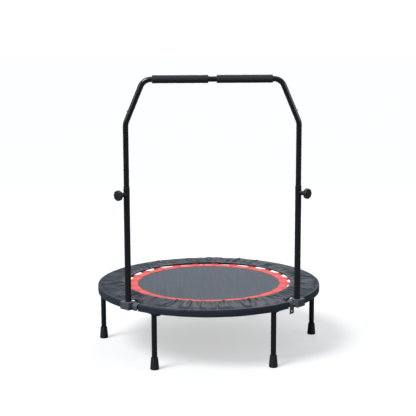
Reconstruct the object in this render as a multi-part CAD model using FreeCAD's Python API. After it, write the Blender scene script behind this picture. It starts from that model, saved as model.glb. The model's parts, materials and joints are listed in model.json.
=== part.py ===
import FreeCAD, Part

import math
import os

from FreeCAD import Vector

# Mini trampoline with a height-adjustable handlebar.
# Frame: origin on the floor under the middle of the ring, +Z up, the
# handlebar on the -Y side (the front), +X to the right. Millimetres.

# ---------------------------------------------------------------- ring frame
RING_RADIUS = 469.0        # centre line of the ring tube
RING_HEIGHT = 249.5        # centre line above the floor
RING_OD = 25.4
RING_WALL = 1.5
SLEEVE_LENGTH = 84.0       # inner sleeve where the two half rings meet
SLEEVE_WALL = 2.0
SLEEVE_SCREW_OFFSET = 28.0  # screws each side of the seam, along the ring
SLEEVE_SCREW_D = 5.0

# --------------------------------------------------------------- legs, feet
LEG_ANGLES = {             # degrees, counted from the front, + to the right
    "front_left": -31.0, "front_right": 31.0,
    "side_left": -97.0, "side_right": 97.0,
    "rear_left": -151.0, "rear_right": 151.0,
}
LEG_OD = 22.2
LEG_WALL = 1.2
SADDLE_RIM = 1.4           # saddle washer wider than the leg, all round
SADDLE_DROP = 4.5          # saddle washer below the ring tube
SADDLE_WRAP = 5.0          # saddle washer up the side of the ring tube
STUD_D = 8.0
NUT_WIDTH = 13.0
FOOT_HEIGHT = 50.0
FOOT_WALL = 3.15           # rubber round the leg, at the cap's top
FOOT_FLARE = 9.0           # cap wider at the floor than at its top
FOOT_SOLE = 6.0
FOOT_EDGE = 3.5            # rounded lower edge

# ---------------------------------------------------------------- bounce mat
SPRING_COUNT = 24
SPRING_SPAN = 120.0        # mat's corners to the ring's centre line
BORDER_WIDTH = 37.0
MAT_THICKNESS = 1.5
MAT_RISE = 11.3            # mat's top above the ring's centre line
BORDER_THICKNESS = 1.0
BORDER_WRAP = 7.0          # border folded over the mat's edge
TAB_LENGTH = 18.0
TAB_ROOT = 40.0
TAB_TIP = 27.0
TAB_WALL = 0.9             # webbing over and under the link's bar
LINK_WIRE = 3.4            # triangular steel link sewn into each tab
LINK_BAR = 34.0
LINK_DEPTH = 21.0
COIL_OD = 10.0
COIL_INSET = 7.0           # link apex to coil, coil to ring tube
HOOK_WIRE = 2.6
HOOK_RISE = 3.0            # hook holes above the ring's centre line
HOOK_HOLE_PLAY = 1.6       # hook hole wider than the hook
HOOK_REACH = 3.0           # hook tip past the tube's inner wall face
GAP = 0.3                  # clearance between soft or moving neighbours

# -------------------------------------------------------------- spring cover
COVER_WIDTH = 110.0        # inner edge to the ring's centre line
COVER_THICKNESS = 1.5
COVER_OUTER_RISE = 2.3     # cover's crease above the ring tube
COVER_CREASE = 1.3         # rounding of the crease
COVER_SEAM_DROP = 4.0      # seam of top and skirt, below the crease
SKIRT_CLEAR = 0.2
SKIRT_BELOW_RING = 1.6
FOAM_THICKNESS = 1.6
FOAM_INSET = 9.0
FOAM_EDGE_CLEAR = 4.3      # foam ends short of the ring tube
HEM_CORD_D = 4.4
NOTCH_MARGIN = 5.0

# -------------------------------------------------- clamps of the handlebar
CLAMP_ANGLE = 46.0         # from the front, left and right
BLOCK_LENGTH = 50.0        # along the ring
BLOCK_REACH = 34.0         # ring centre line to the block's outer face
BLOCK_OVER = 5.3           # above the ring tube
BLOCK_SHORT = 0.2          # ends short of the ring tube's lowest line
BLOCK_ROUND = 1.6
JAW_WALL = 8.3             # steel inside the ring tube
CLAMP_CLEAR = 0.05
STRAP_WIDTH = 26.0
STRAP_THICKNESS = 2.5
STRAP_GAP = 1.5            # block to strap, along the ring
STRAP_TAIL = {"left": 0.3, "right": 24.3}    # below the ring tube
TAB_HOLE_D = 8.0
TAB_HOLE_MARGIN = 11.0
CLAMP_BOLT_D = 6.0
CLAMP_BOLT_HEAD_D = 11.0
CLAMP_BOLT_HEAD = 4.0
SIDE_BOLT_GAP = 2.5        # block's end to the bolt that nips the strap, along the ring
BOLT_PLAY = 0.2

# --------------------------------------------------------------- lower posts
POST_OFFSET = 11.0         # post axis outward of the ring's centre line
POST_WALL = 1.0
POST_TOP = 736.5
BUSH_WALL = 0.55
BUSH_LENGTH = 32.0
BUSH_FLANGE = 3.0
RUNNING = 0.05             # radial clearance of a running fit
LOCK_DROP = 28.5           # knob axis below the post's top
BOSS_OD = 18.0
BOSS_PROUD = 11.3          # out of the post

# --------------------------------------------------------------------- knobs
KNOB_STUD_D = 8.0
KNOB_HEAD_OD = 42.0
KNOB_GAP = 13.0            # boss to the hand wheel
KNOB_HEAD_THICK = 15.0
KNOB_HUB_OD = 19.0
KNOB_HUB_LENGTH = 5.0
KNOB_LOBES = 8
KNOB_FLUTE_D = 12.0
KNOB_FACE_WALL = 6.0
STUD_TIP_CLEAR = 0.3

# ----------------------------------------------------------------- handlebar
BAR_OD = 22.2
BAR_WALL = 1.5
HOLE_COUNT = 5
HOLE_PITCH = 50.0
HOLE_PLAY = 0.6            # locking hole wider than the stud
TUBE_BELOW_LOCK = 82.0
ELBOW_ABOVE_HOLES = 83.0
BAR_RISE = 174.0           # grip bar above the elbows
BAR_HALF_LENGTH = 272.0    # to the corner of the centre lines
ELBOW_BEND = 60.0
TOP_BEND = 45.0
JOINT_FROM_ELBOW = 83.0    # tube joint up the inclined run
SWAGE_LENGTH = 52.0
SWAGE_CLEAR = 0.2
SWAGE_WALL = 1.5
SHOULDER = 6.0
BUTTON_FROM_JOINT = 34.0
BUTTON_D = 7.0
BUTTON_PROUD = 2.6
CLIP_WIDTH = 5.0
CLIP_THICKNESS = 0.8
CLIP_LEG = 24.0
CLIP_PLAY = 1.7            # clip leg inside the swaged end's bore
GRIP_WALL = 5.05
GRIP_GAP = 34.0            # bare bar between the two grips
GRIP_END_CLEAR = 3.1       # grip to the start of the bar's bend
PLUG_LENGTH = 14.0
PLUG_SPIGOT = 12.0

# ------------------------------------------------------------ derived places
RING_R = RING_OD / 2
RING_TOP = RING_HEIGHT + RING_R
RING_BOTTOM = RING_HEIGHT - RING_R
SADDLE_OD = LEG_OD + 2 * SADDLE_RIM
FOOT_TOP_OD = LEG_OD + 2 * FOOT_WALL
FOOT_BOTTOM_OD = FOOT_TOP_OD + FOOT_FLARE
POST_RADIUS = RING_RADIUS + POST_OFFSET
POST_X = POST_RADIUS * math.sin(math.radians(CLAMP_ANGLE))
POST_Y = -POST_RADIUS * math.cos(math.radians(CLAMP_ANGLE))
POST_ID = BAR_OD + 2 * RUNNING + 2 * BUSH_WALL
POST_OD = POST_ID + 2 * POST_WALL
LOCK_HEIGHT = POST_TOP - LOCK_DROP
BOSS_REACH = POST_OD / 2 + BOSS_PROUD
KNOB_HEAD_START = BOSS_REACH + KNOB_GAP
HOLE_D = KNOB_STUD_D + HOLE_PLAY
ELBOW_HEIGHT = LOCK_HEIGHT + (HOLE_COUNT - 1) * HOLE_PITCH + ELBOW_ABOVE_HOLES
BAR_HEIGHT = ELBOW_HEIGHT + BAR_RISE
BAR_TURN = math.atan2(BAR_RISE, POST_X - BAR_HALF_LENGTH)
SWAGE_OD = BAR_OD - 2 * BAR_WALL - 2 * SWAGE_CLEAR
SWAGE_ID = SWAGE_OD - 2 * SWAGE_WALL
CLIP_OFFSET = SWAGE_ID / 2 - CLIP_PLAY     # outer face of a clip leg from the tube's axis
GRIP_OD = BAR_OD + 2 * GRIP_WALL
GRIP_END = BAR_HALF_LENGTH - TOP_BEND * math.tan(BAR_TURN / 2) - GRIP_END_CLEAR
BLOCK_TOP = RING_R + BLOCK_OVER            # these two from the ring's centre line
BLOCK_BOTTOM = RING_R - BLOCK_SHORT
BLOCK_TOP_Z = RING_HEIGHT + BLOCK_TOP
JAW_REACH = RING_R + JAW_WALL
STRAP_OFFSET = BLOCK_LENGTH / 2 + STRAP_GAP + STRAP_WIDTH / 2
SIDE_BOLT_OFFSET = BLOCK_LENGTH / 2 + SIDE_BOLT_GAP
MAT_RADIUS = RING_RADIUS - SPRING_SPAN     # corners of the bordered mat, at the tabs
MAT_TOP = RING_HEIGHT + MAT_RISE
MAT_BOTTOM = MAT_TOP - MAT_THICKNESS
MAT_MIDDLE = MAT_TOP - MAT_THICKNESS / 2
TAB_THICKNESS = LINK_WIRE + 2 * TAB_WALL
LINK_BAR_R = MAT_RADIUS + TAB_LENGTH - TAB_THICKNESS / 2
LINK_APEX_R = LINK_BAR_R + LINK_DEPTH
HOOK_HOLE_D = HOOK_WIRE + HOOK_HOLE_PLAY
HOOK_Z = RING_HEIGHT + HOOK_RISE
HOOK_WALL_R = RING_RADIUS - math.sqrt(RING_R ** 2 - HOOK_RISE ** 2)
SPRING_START_R = LINK_APEX_R + LINK_WIRE / 2 + GAP
SPRING_END_R = HOOK_WALL_R + HOOK_REACH
SPRING_FALL = (MAT_MIDDLE - HOOK_Z) / (SPRING_END_R - SPRING_START_R)
COIL_START_R = SPRING_START_R + COIL_INSET
COIL_START_TOP = MAT_MIDDLE - SPRING_FALL * COIL_INSET + COIL_OD / 2
SKIRT_INNER = RING_RADIUS + max(RING_R, SADDLE_OD / 2) + SKIRT_CLEAR
COVER_OUTER = SKIRT_INNER + COVER_THICKNESS
COVER_OUTER_Z = RING_TOP + COVER_OUTER_RISE
COVER_INNER_RADIUS = RING_RADIUS - COVER_WIDTH
OVER_COIL = COIL_START_TOP + GAP + FOAM_THICKNESS + COVER_THICKNESS
OVER_TABS = MAT_MIDDLE + TAB_THICKNESS / 2 + GAP + HEM_CORD_D + COVER_THICKNESS
COVER_SLOPE = max((OVER_COIL - COVER_OUTER_Z) / (COVER_OUTER - COIL_START_R),
                  (OVER_TABS - COVER_OUTER_Z) / (COVER_OUTER - COVER_INNER_RADIUS - HEM_CORD_D))
COVER_INNER_Z = COVER_OUTER_Z + COVER_SLOPE * (COVER_OUTER - COVER_INNER_RADIUS)
SKIRT_BOTTOM = RING_BOTTOM - SKIRT_BELOW_RING
SPRING_STEP = 360.0 / SPRING_COUNT
SPRING_ANGLES = [SPRING_STEP * (i + 0.5) for i in range(SPRING_COUNT)]

UP = Vector(0, 0, 1)
OUT = Vector(1, 0, 0)
ALONG = Vector(0, 1, 0)


# --------------------------------------------------------------- shape tools
def save(shape, name):
    """Write one node; several solids may share it."""
    shape.exportStep("parts/" + name + ".step")


def rod(diameter, start, end):
    """Solid cylinder between two points."""
    axis = end - start
    return Part.makeCylinder(diameter / 2, axis.Length, start, axis)


def pipe(outer, inner, start, end):
    """Straight tube between two points."""
    return rod(outer, start, end).cut(rod(inner, start, end))


def block(low, high):
    """Box from its lowest to its highest corner."""
    size = high - low
    return Part.makeBox(size.x, size.y, size.z, low)


def turned(shape, angle):
    """The shape turned about the ring's axis by an angle in degrees."""
    copy = shape.copy()
    copy.rotate(Vector(0, 0, 0), UP, angle)
    return copy


def from_front(angle):
    """Angle about +Z of a place given in degrees from the front."""
    return 270.0 + angle


def revolved(points):
    """Solid of revolution about +Z from (radius, height) points."""
    wire = Part.makePolygon([Vector(r, 0, z) for r, z in points + points[:1]])
    return Part.Face(wire).revolve(Vector(0, 0, 0), UP, 360)


def ring_segment(outer, inner, start, sweep):
    """Stretch of curved ring tube, from an angle over a sweep in degrees."""
    centre = Vector(RING_RADIUS, 0, RING_HEIGHT)
    edges = [Part.makeCircle(d / 2, centre, ALONG) for d in (outer, inner)]
    face = Part.Face(Part.Wire(edges[0])).cut(Part.Face(Part.Wire(edges[1])))
    return turned(face.revolve(Vector(0, 0, 0), UP, sweep).Solids[0], start)


def solid_ring(diameter):
    """Whole ring of round section, used to cut seats."""
    return Part.makeTorus(RING_RADIUS, diameter / 2, Vector(0, 0, RING_HEIGHT), UP)


def bent_path(corners, bends):
    """Wire along straight runs, each inner corner rounded by its radius."""
    edges = []
    start = corners[0]
    for before, corner, after, radius in zip(corners, corners[1:], corners[2:], bends):
        back = (before - corner).normalize()
        ahead = (after - corner).normalize()
        half = back.getAngle(ahead) / 2
        run = radius / math.tan(half)
        first = corner + back * run
        last = corner + ahead * run
        bisector = (back + ahead).normalize()
        middle = corner + bisector * (radius / math.sin(half) - radius)
        edges.append(Part.LineSegment(start, first).toShape())
        edges.append(Part.Arc(first, middle, last).toShape())
        start = last
    edges.append(Part.LineSegment(start, corners[-1]).toShape())
    return Part.Wire(edges)


def swept_rod(path, start, direction, diameter):
    """Round bar along a wire."""
    section = Part.Wire(Part.makeCircle(diameter / 2, start, direction))
    return path.makePipeShell([section], True, False)


def bent_tube(corners, bends, outer, wall):
    """Hollow tube along rounded straight runs."""
    path = bent_path(corners, bends)
    direction = corners[1] - corners[0]
    skin = swept_rod(path, corners[0], direction, outer)
    bore = swept_rod(path, corners[0], direction, outer - 2 * wall)
    return skin.cut(bore)


# ----------------------------------------------------------------- the frame
def leg_place(name):
    """Leg axis, at floor height."""
    angle = math.radians(from_front(LEG_ANGLES[name]))
    return Vector(RING_RADIUS * math.cos(angle), RING_RADIUS * math.sin(angle), 0)


def sleeve_screws():
    """Four screws, one each side of the front and rear seam."""
    offset = math.degrees(SLEEVE_SCREW_OFFSET / RING_RADIUS)
    inside = RING_RADIUS - RING_R
    shank_end = inside + RING_WALL + SLEEVE_WALL + 2.0
    shank = rod(SLEEVE_SCREW_D, Vector(inside - 0.5, 0, RING_HEIGHT),
                Vector(shank_end, 0, RING_HEIGHT))
    head = rod(1.9 * SLEEVE_SCREW_D, Vector(inside - 2.8, 0, RING_HEIGHT),
               Vector(inside - 0.1, 0, RING_HEIGHT)).cut(solid_ring(RING_OD))
    screw = shank.fuse(head)
    return [turned(screw, seam + side * offset) for seam in (90, 270) for side in (-1, 1)]


def sleeve_holes():
    """Clearance holes of the sleeve screws."""
    offset = math.degrees(SLEEVE_SCREW_OFFSET / RING_RADIUS)
    inside = RING_RADIUS - RING_R
    hole = rod(SLEEVE_SCREW_D + 0.1, Vector(inside - 5, 0, RING_HEIGHT),
               Vector(inside + RING_R, 0, RING_HEIGHT))
    return [turned(hole, seam + side * offset) for seam in (90, 270) for side in (-1, 1)]


def hook_holes():
    """One hole in the ring's inner wall for each spring."""
    hole = rod(HOOK_HOLE_D, Vector(HOOK_WALL_R - 6, 0, HOOK_Z), Vector(HOOK_WALL_R + 5, 0, HOOK_Z))
    return [turned(hole, angle) for angle in SPRING_ANGLES]


def stud_holes():
    """Holes in the ring's lower wall for the leg studs."""
    holes = []
    for name in LEG_ANGLES:
        foot = leg_place(name)
        holes.append(rod(STUD_D + 0.2, foot + UP * (RING_BOTTOM - 5), foot + UP * (RING_HEIGHT - 4)))
    return holes


def clamp_holes():
    """Holes right through the ring for the clamp bolts."""
    holes = []
    for side, sign in (("left", -1), ("right", 1)):
        for offset in (0.0, -SIDE_BOLT_OFFSET):
            hole = rod(CLAMP_BOLT_D + BOLT_PLAY, Vector(RING_RADIUS - 30, sign * offset, RING_HEIGHT),
                       Vector(RING_RADIUS + 30, sign * offset, RING_HEIGHT))
            holes.append(turned(hole, from_front(sign * CLAMP_ANGLE)))
    return holes


def make_frame():
    cuts = Part.makeCompound(sleeve_holes() + hook_holes() + stud_holes() + clamp_holes())
    bore = RING_OD - 2 * RING_WALL
    for side, start in (("left", 90.0), ("right", 270.0)):
        half = ring_segment(RING_OD, bore, start, 180.0)
        save(half.cut(cuts), "frame_half_" + side)

    sweep = math.degrees(SLEEVE_LENGTH / RING_RADIUS)
    holes = Part.makeCompound(sleeve_holes())
    sleeves = [ring_segment(bore, bore - 2 * SLEEVE_WALL, seam - sweep / 2, sweep).cut(holes)
               for seam in (90.0, 270.0)]
    save(Part.makeCompound(sleeves), "frame_sleeves")
    save(Part.makeCompound(sleeve_screws()), "frame_screws")


def make_legs():
    seat = solid_ring(RING_OD)
    saddle_bottom = RING_BOTTOM - SADDLE_DROP
    bore = LEG_OD - 2 * LEG_WALL
    studs = []
    nuts = []
    for name in LEG_ANGLES:
        foot = leg_place(name)
        saddle = pipe(SADDLE_OD, STUD_D + 0.2, foot + UP * saddle_bottom, foot + UP * (RING_BOTTOM + SADDLE_WRAP))
        save(saddle.cut(seat), "leg_saddle_" + name)

        leg = pipe(LEG_OD, bore, foot + UP * FOOT_SOLE, foot + UP * saddle_bottom)
        save(leg, "leg_" + name)

        plug = rod(bore, foot + UP * (saddle_bottom - 10), foot + UP * saddle_bottom)
        shank = rod(STUD_D, foot + UP * saddle_bottom, foot + UP * (RING_HEIGHT + 1))
        studs.append(plug.fuse(shank))
        nuts.append(leg_nut(foot))
        save(make_foot(foot), "foot_" + name)
    save(Part.makeCompound(studs), "leg_studs")
    save(Part.makeCompound(nuts), "leg_nuts")


def leg_nut(foot):
    """Hexagon nut inside the ring tube, on its lower wall."""
    bottom = RING_BOTTOM + RING_WALL + 2.0
    corner = NUT_WIDTH / math.sqrt(3)
    points = [Vector(corner * math.cos(math.radians(60 * i)), corner * math.sin(math.radians(60 * i)), 0)
              for i in range(7)]
    outline = Part.Face(Part.makePolygon(points))
    outline.translate(foot + UP * bottom)
    nut = outline.extrude(UP * 6.5)
    nut = nut.cut(rod(STUD_D + 0.1, foot + UP * (bottom - 1), foot + UP * (bottom + 8)))
    return nut.common(solid_ring(RING_OD - 2 * RING_WALL - 0.1))


def make_foot(foot):
    """Tapered rubber cap with a rounded lower edge."""
    body = Part.makeCone(FOOT_BOTTOM_OD / 2, FOOT_TOP_OD / 2, FOOT_HEIGHT)
    lower = min(body.Edges, key=lambda edge: edge.BoundBox.ZMax)
    body = body.makeFillet(FOOT_EDGE, [lower])
    cap = body.cut(Part.makeCylinder(LEG_OD / 2, FOOT_HEIGHT, Vector(0, 0, FOOT_SOLE)))
    cap.translate(foot)
    return cap


# ------------------------------------------------------- mat, tabs, springs
def polygon_plate(radius, bottom, top):
    """Flat plate with one corner at each tab."""
    points = [turned_point(radius, angle, bottom) for angle in SPRING_ANGLES]
    outline = Part.Face(Part.makePolygon(points + points[:1]))
    return outline.extrude(UP * (top - bottom))


def turned_point(radius, angle, height):
    spin = math.radians(angle)
    return Vector(radius * math.cos(spin), radius * math.sin(spin), height)


def make_mat():
    inner_edge = MAT_RADIUS - BORDER_WRAP
    save(polygon_plate(inner_edge, MAT_BOTTOM, MAT_TOP), "mat")

    band = polygon_plate(MAT_RADIUS, MAT_TOP, MAT_TOP + BORDER_THICKNESS)
    band = band.cut(polygon_plate(MAT_RADIUS - BORDER_WIDTH, MAT_TOP - 1, MAT_TOP + 5))
    wrap = polygon_plate(MAT_RADIUS, MAT_BOTTOM, MAT_TOP)
    wrap = wrap.cut(polygon_plate(inner_edge, MAT_BOTTOM - 1, MAT_TOP + 1))
    border = band.fuse(wrap)
    save(border, "mat_border")

    tab = make_tab()
    link = make_link()
    save(Part.makeCompound([turned(tab, angle) for angle in SPRING_ANGLES]), "mat_tabs")
    save(Part.makeCompound([turned(link, angle) for angle in SPRING_ANGLES]), "mat_links")


def make_tab():
    """Webbing loop that holds a link to the mat's corner."""
    low = MAT_MIDDLE - TAB_THICKNESS / 2
    half_step = math.radians(SPRING_STEP / 2)
    root_x = MAT_RADIUS - TAB_ROOT / 2 * math.tan(half_step)
    tip_x = MAT_RADIUS + TAB_LENGTH
    outline = [Vector(MAT_RADIUS, 0, low), Vector(root_x, -TAB_ROOT / 2, low),
               Vector(tip_x, -TAB_TIP / 2, low), Vector(tip_x, TAB_TIP / 2, low),
               Vector(root_x, TAB_ROOT / 2, low)]
    plate = Part.Face(Part.makePolygon(outline + outline[:1])).extrude(UP * TAB_THICKNESS)
    bar = rod(LINK_WIRE, Vector(LINK_BAR_R, -TAB_ROOT, MAT_MIDDLE), Vector(LINK_BAR_R, TAB_ROOT, MAT_MIDDLE))
    return plate.cut(bar).cut(make_link())


def make_link():
    """Closed triangle of wire, its bar in the tab and its apex outward."""
    left = Vector(LINK_BAR_R, -LINK_BAR / 2, MAT_MIDDLE)
    right = Vector(LINK_BAR_R, LINK_BAR / 2, MAT_MIDDLE)
    apex = Vector(LINK_APEX_R, 0, MAT_MIDDLE)
    shape = rod(LINK_WIRE, left, right)
    for start, end in ((left, apex), (right, apex)):
        shape = shape.fuse(rod(LINK_WIRE, start, end))
    for corner in (left, right, apex):
        shape = shape.fuse(Part.makeSphere(LINK_WIRE / 2, corner))
    return shape


def make_springs():
    """Each spring's outer shape: a coil with a straight hook at each end."""
    start = Vector(SPRING_START_R, 0, MAT_MIDDLE)
    end = Vector(SPRING_END_R, 0, HOOK_Z)
    axis = (end - start).normalize()
    coil_start = start + axis * COIL_INSET
    coil_end = end - axis * (COIL_INSET + HOOK_REACH)
    spring = rod(COIL_OD, coil_start, coil_end).fuse(rod(HOOK_WIRE, start, end))
    save(Part.makeCompound([turned(spring, angle) for angle in SPRING_ANGLES]), "springs")


# ------------------------------------------------------------ spring cover
def cover_top(radius):
    """Height of the cover's upper face at a radius."""
    return COVER_OUTER_Z + COVER_SLOPE * (COVER_OUTER - radius)


def clamp_notches():
    """Cut-outs of the cover around the two clamps."""
    notches = []
    inner = RING_RADIUS - JAW_REACH - NOTCH_MARGIN
    for sign in (-1, 1):
        far = BLOCK_LENGTH / 2 + NOTCH_MARGIN
        near = STRAP_OFFSET + STRAP_WIDTH / 2 + NOTCH_MARGIN
        low = Vector(inner, min(sign * far, -sign * near), SKIRT_BOTTOM - 5)
        high = Vector(COVER_OUTER + 10, max(sign * far, -sign * near), COVER_INNER_Z + 5)
        notches.append(turned(block(low, high), from_front(sign * CLAMP_ANGLE)))
    return Part.makeCompound(notches)


def make_cover():
    """Top panel, skirt, foam strip and the elastic in the inner hem."""
    seam_z = COVER_OUTER_Z - COVER_SEAM_DROP
    top = revolved([
        (COVER_INNER_RADIUS, COVER_INNER_Z - COVER_THICKNESS), (COVER_INNER_RADIUS, COVER_INNER_Z),
        (COVER_OUTER, COVER_OUTER_Z), (COVER_OUTER, seam_z), (SKIRT_INNER, seam_z),
        (SKIRT_INNER, cover_top(SKIRT_INNER) - COVER_THICKNESS),
    ])
    crease = [edge for edge in top.Edges if edge.BoundBox.ZMin > COVER_OUTER_Z - 0.01
              and edge.BoundBox.ZMax < COVER_OUTER_Z + 0.01]
    top = top.makeFillet(COVER_CREASE, crease).cut(clamp_notches())
    save(top, "cover_top")
    skirt = revolved([(SKIRT_INNER, SKIRT_BOTTOM), (COVER_OUTER, SKIRT_BOTTOM),
                      (COVER_OUTER, seam_z), (SKIRT_INNER, seam_z)])
    save(skirt.cut(clamp_notches()), "cover_skirt")

    inner = COVER_INNER_RADIUS + FOAM_INSET
    outer = RING_RADIUS - RING_R - FOAM_EDGE_CLEAR
    inner_z, outer_z = (cover_top(radius) - COVER_THICKNESS for radius in (inner, outer))
    foam = revolved([(inner, inner_z - FOAM_THICKNESS), (outer, outer_z - FOAM_THICKNESS),
                     (outer, outer_z), (inner, inner_z)])
    save(foam.cut(clamp_notches()), "pad_foam")

    cord_z = cover_top(COVER_INNER_RADIUS + HEM_CORD_D) - COVER_THICKNESS - HEM_CORD_D / 2
    cord = Part.makeTorus(COVER_INNER_RADIUS + HEM_CORD_D / 2, HEM_CORD_D / 2, Vector(0, 0, cord_z), UP)
    save(cord, "cover_elastic")


# ------------------------------------------------------- clamps and posts
def make_clamp(side, sign):
    """Block, jaw, strap and bolts round the ring, and the post on the block."""
    angle = from_front(sign * CLAMP_ANGLE)
    seat = solid_ring(RING_OD + 2 * CLAMP_CLEAR)
    low_z = RING_HEIGHT - BLOCK_BOTTOM
    half = BLOCK_LENGTH / 2
    outer = block(Vector(RING_RADIUS, -half, low_z),
                  Vector(RING_RADIUS + BLOCK_REACH, half, BLOCK_TOP_Z))
    face_edges = [e for e in outer.Edges if e.BoundBox.XMin > RING_RADIUS + BLOCK_REACH - 0.1]
    outer = outer.makeFillet(BLOCK_ROUND, face_edges)
    jaw = block(Vector(RING_RADIUS - JAW_REACH, -half, low_z),
                Vector(RING_RADIUS, half, RING_TOP))
    places = [(0.0, RING_RADIUS - JAW_REACH, RING_RADIUS + BLOCK_REACH - 8),
              (-sign * SIDE_BOLT_OFFSET, RING_RADIUS - RING_R - CLAMP_CLEAR - STRAP_THICKNESS,
               RING_RADIUS + RING_R + 8)]
    bolts = [clamp_bolt(*place, 0.0) for place in places]
    reliefs = Part.makeCompound([clamp_bolt(*place, BOLT_PLAY) for place in places])
    pieces = {
        "clamp_block": outer.cut(seat),
        "clamp_jaw": jaw.cut(seat),
        "clamp_strap": make_strap(side, sign),
    }
    for name, piece in pieces.items():
        save(turned(piece.cut(reliefs), angle), side + "_" + name)
    return [turned(bolt, angle) for bolt in bolts]


def clamp_bolt(along, head_start, tip, play):
    """Radial bolt with its head on the inner side, or, with play, the room cut for it."""
    centre = Vector(0, along, RING_HEIGHT)
    head = rod(CLAMP_BOLT_HEAD_D + play, centre + OUT * (head_start - CLAMP_BOLT_HEAD - play),
               centre + OUT * head_start)
    return head.fuse(rod(CLAMP_BOLT_D + play, centre + OUT * head_start, centre + OUT * (tip + play)))


def make_strap(side, sign):
    """Steel strap bent over the ring, its outer leg hanging as a tab."""
    inner = RING_R + CLAMP_CLEAR
    outer = inner + STRAP_THICKNESS
    middle = -sign * STRAP_OFFSET
    start = Vector(RING_RADIUS, middle - STRAP_WIDTH / 2, RING_HEIGHT)
    end = start + ALONG * STRAP_WIDTH
    saddle = pipe(2 * outer, 2 * inner, start, end)
    below = block(Vector(RING_RADIUS - 2 * outer, start.y - 1, RING_HEIGHT - 2 * outer),
                  Vector(RING_RADIUS + 2 * outer, end.y + 1, RING_HEIGHT))
    saddle = saddle.cut(below)
    tail = RING_R + STRAP_TAIL[side]
    outer_leg = block(Vector(RING_RADIUS + inner, start.y, RING_HEIGHT - tail),
                      Vector(RING_RADIUS + outer, end.y, RING_HEIGHT))
    inner_leg = block(Vector(RING_RADIUS - outer, start.y, RING_HEIGHT - BLOCK_BOTTOM),
                      Vector(RING_RADIUS - inner, end.y, RING_HEIGHT))
    strap = saddle.fuse([outer_leg, inner_leg])
    if tail > BLOCK_BOTTOM + TAB_HOLE_D:
        hole_z = RING_HEIGHT - tail + TAB_HOLE_MARGIN
        strap = strap.cut(rod(TAB_HOLE_D, Vector(RING_RADIUS, middle, hole_z),
                              Vector(RING_RADIUS + 2 * outer, middle, hole_z)))
    return strap.removeSplitter().cut(solid_ring(RING_OD + 2 * CLAMP_CLEAR))


def post_place(sign):
    return Vector(sign * POST_X, POST_Y, 0)


def knob_frame(sign):
    """Start point on the post's axis and outward direction of a knob."""
    angle = math.radians(from_front(sign * CLAMP_ANGLE))
    return post_place(sign) + UP * LOCK_HEIGHT, Vector(math.cos(angle), math.sin(angle), 0)


def make_post(side, sign):
    """Lower post and knob boss; returns the bush in the post's mouth."""
    axis = post_place(sign)
    centre, outward = knob_frame(sign)
    stud_hole = rod(KNOB_STUD_D + 2 * RUNNING, centre, centre + outward * (BOSS_REACH + 1))
    post = pipe(POST_OD, POST_ID, axis + UP * BLOCK_TOP_Z, axis + UP * (POST_TOP - BUSH_FLANGE))
    save(post.cut(stud_hole), side + "_post")

    bore = BAR_OD + 2 * RUNNING
    liner = pipe(POST_ID, bore, axis + UP * (POST_TOP - BUSH_LENGTH), axis + UP * (POST_TOP - BUSH_FLANGE))
    flange = pipe(POST_OD, bore, axis + UP * (POST_TOP - BUSH_FLANGE), axis + UP * POST_TOP)
    bush = liner.fuse(flange).cut(stud_hole)

    boss = rod(BOSS_OD, centre + outward * 2, centre + outward * BOSS_REACH)
    boss = boss.cut(rod(POST_OD, axis, axis + UP * POST_TOP)).cut(stud_hole)
    save(max(boss.Solids, key=lambda solid: solid.Volume), side + "_knob_boss")
    return bush


def make_knob(side, sign):
    """Threaded stud and the fluted hand wheel that turns it."""
    centre, outward = knob_frame(sign)
    tip = BAR_OD / 2 + STUD_TIP_CLEAR
    face = KNOB_HEAD_START + KNOB_HEAD_THICK
    stud_end = face - KNOB_FACE_WALL
    save(rod(KNOB_STUD_D, centre + outward * tip, centre + outward * stud_end), side + "_knob_stud")

    head = Part.makeCylinder(KNOB_HEAD_OD / 2, KNOB_HEAD_THICK, OUT * KNOB_HEAD_START, OUT)
    head = head.makeFillet(2.5, [e for e in head.Edges if len(e.Vertexes) == 1])
    hub = Part.makeCylinder(KNOB_HUB_OD / 2, KNOB_HUB_LENGTH, OUT * (KNOB_HEAD_START - KNOB_HUB_LENGTH), OUT)
    bore = Part.makeCylinder(KNOB_STUD_D / 2 + RUNNING, stud_end, Vector(0, 0, 0), OUT)
    knob = head.fuse(hub).cut(bore)
    for lobe in range(KNOB_LOBES):
        spin = math.radians(360.0 * (lobe + 0.5) / KNOB_LOBES)
        reach = KNOB_HEAD_OD / 2 + KNOB_FLUTE_D * 0.28
        place = Vector(KNOB_HEAD_START - 1, reach * math.cos(spin), reach * math.sin(spin))
        knob = knob.cut(Part.makeCylinder(KNOB_FLUTE_D / 2, KNOB_HEAD_THICK + 2, place, OUT))
    knob = turned(knob, from_front(sign * CLAMP_ANGLE))
    knob.translate(centre)
    save(knob, side + "_knob_head")


# ---------------------------------------------------------------- handlebar
def bar_corners():
    """Centre-line points of the right half, from the elbow to the middle."""
    elbow = Vector(POST_X, POST_Y, ELBOW_HEIGHT)
    corner = Vector(BAR_HALF_LENGTH, POST_Y, BAR_HEIGHT)
    rise = (corner - elbow).normalize()
    return elbow, corner, rise


def mirrored(shape, sign):
    """The right-hand shape, or its mirror image on the left."""
    return shape if sign > 0 else shape.mirror(Vector(0, 0, 0), OUT)


def button_hole():
    """Hole of the right snap button, through the outer walls."""
    centre, outward = button_frame()
    return rod(BUTTON_D + 4 * RUNNING, centre, centre + outward * BAR_OD)


def button_frame():
    """Point on the tube's axis under the right snap button, and its direction."""
    elbow, corner, rise = bar_corners()
    centre = elbow + rise * (JOINT_FROM_ELBOW - BUTTON_FROM_JOINT)
    return centre, Vector(rise.z, 0, -rise.x)


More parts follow.
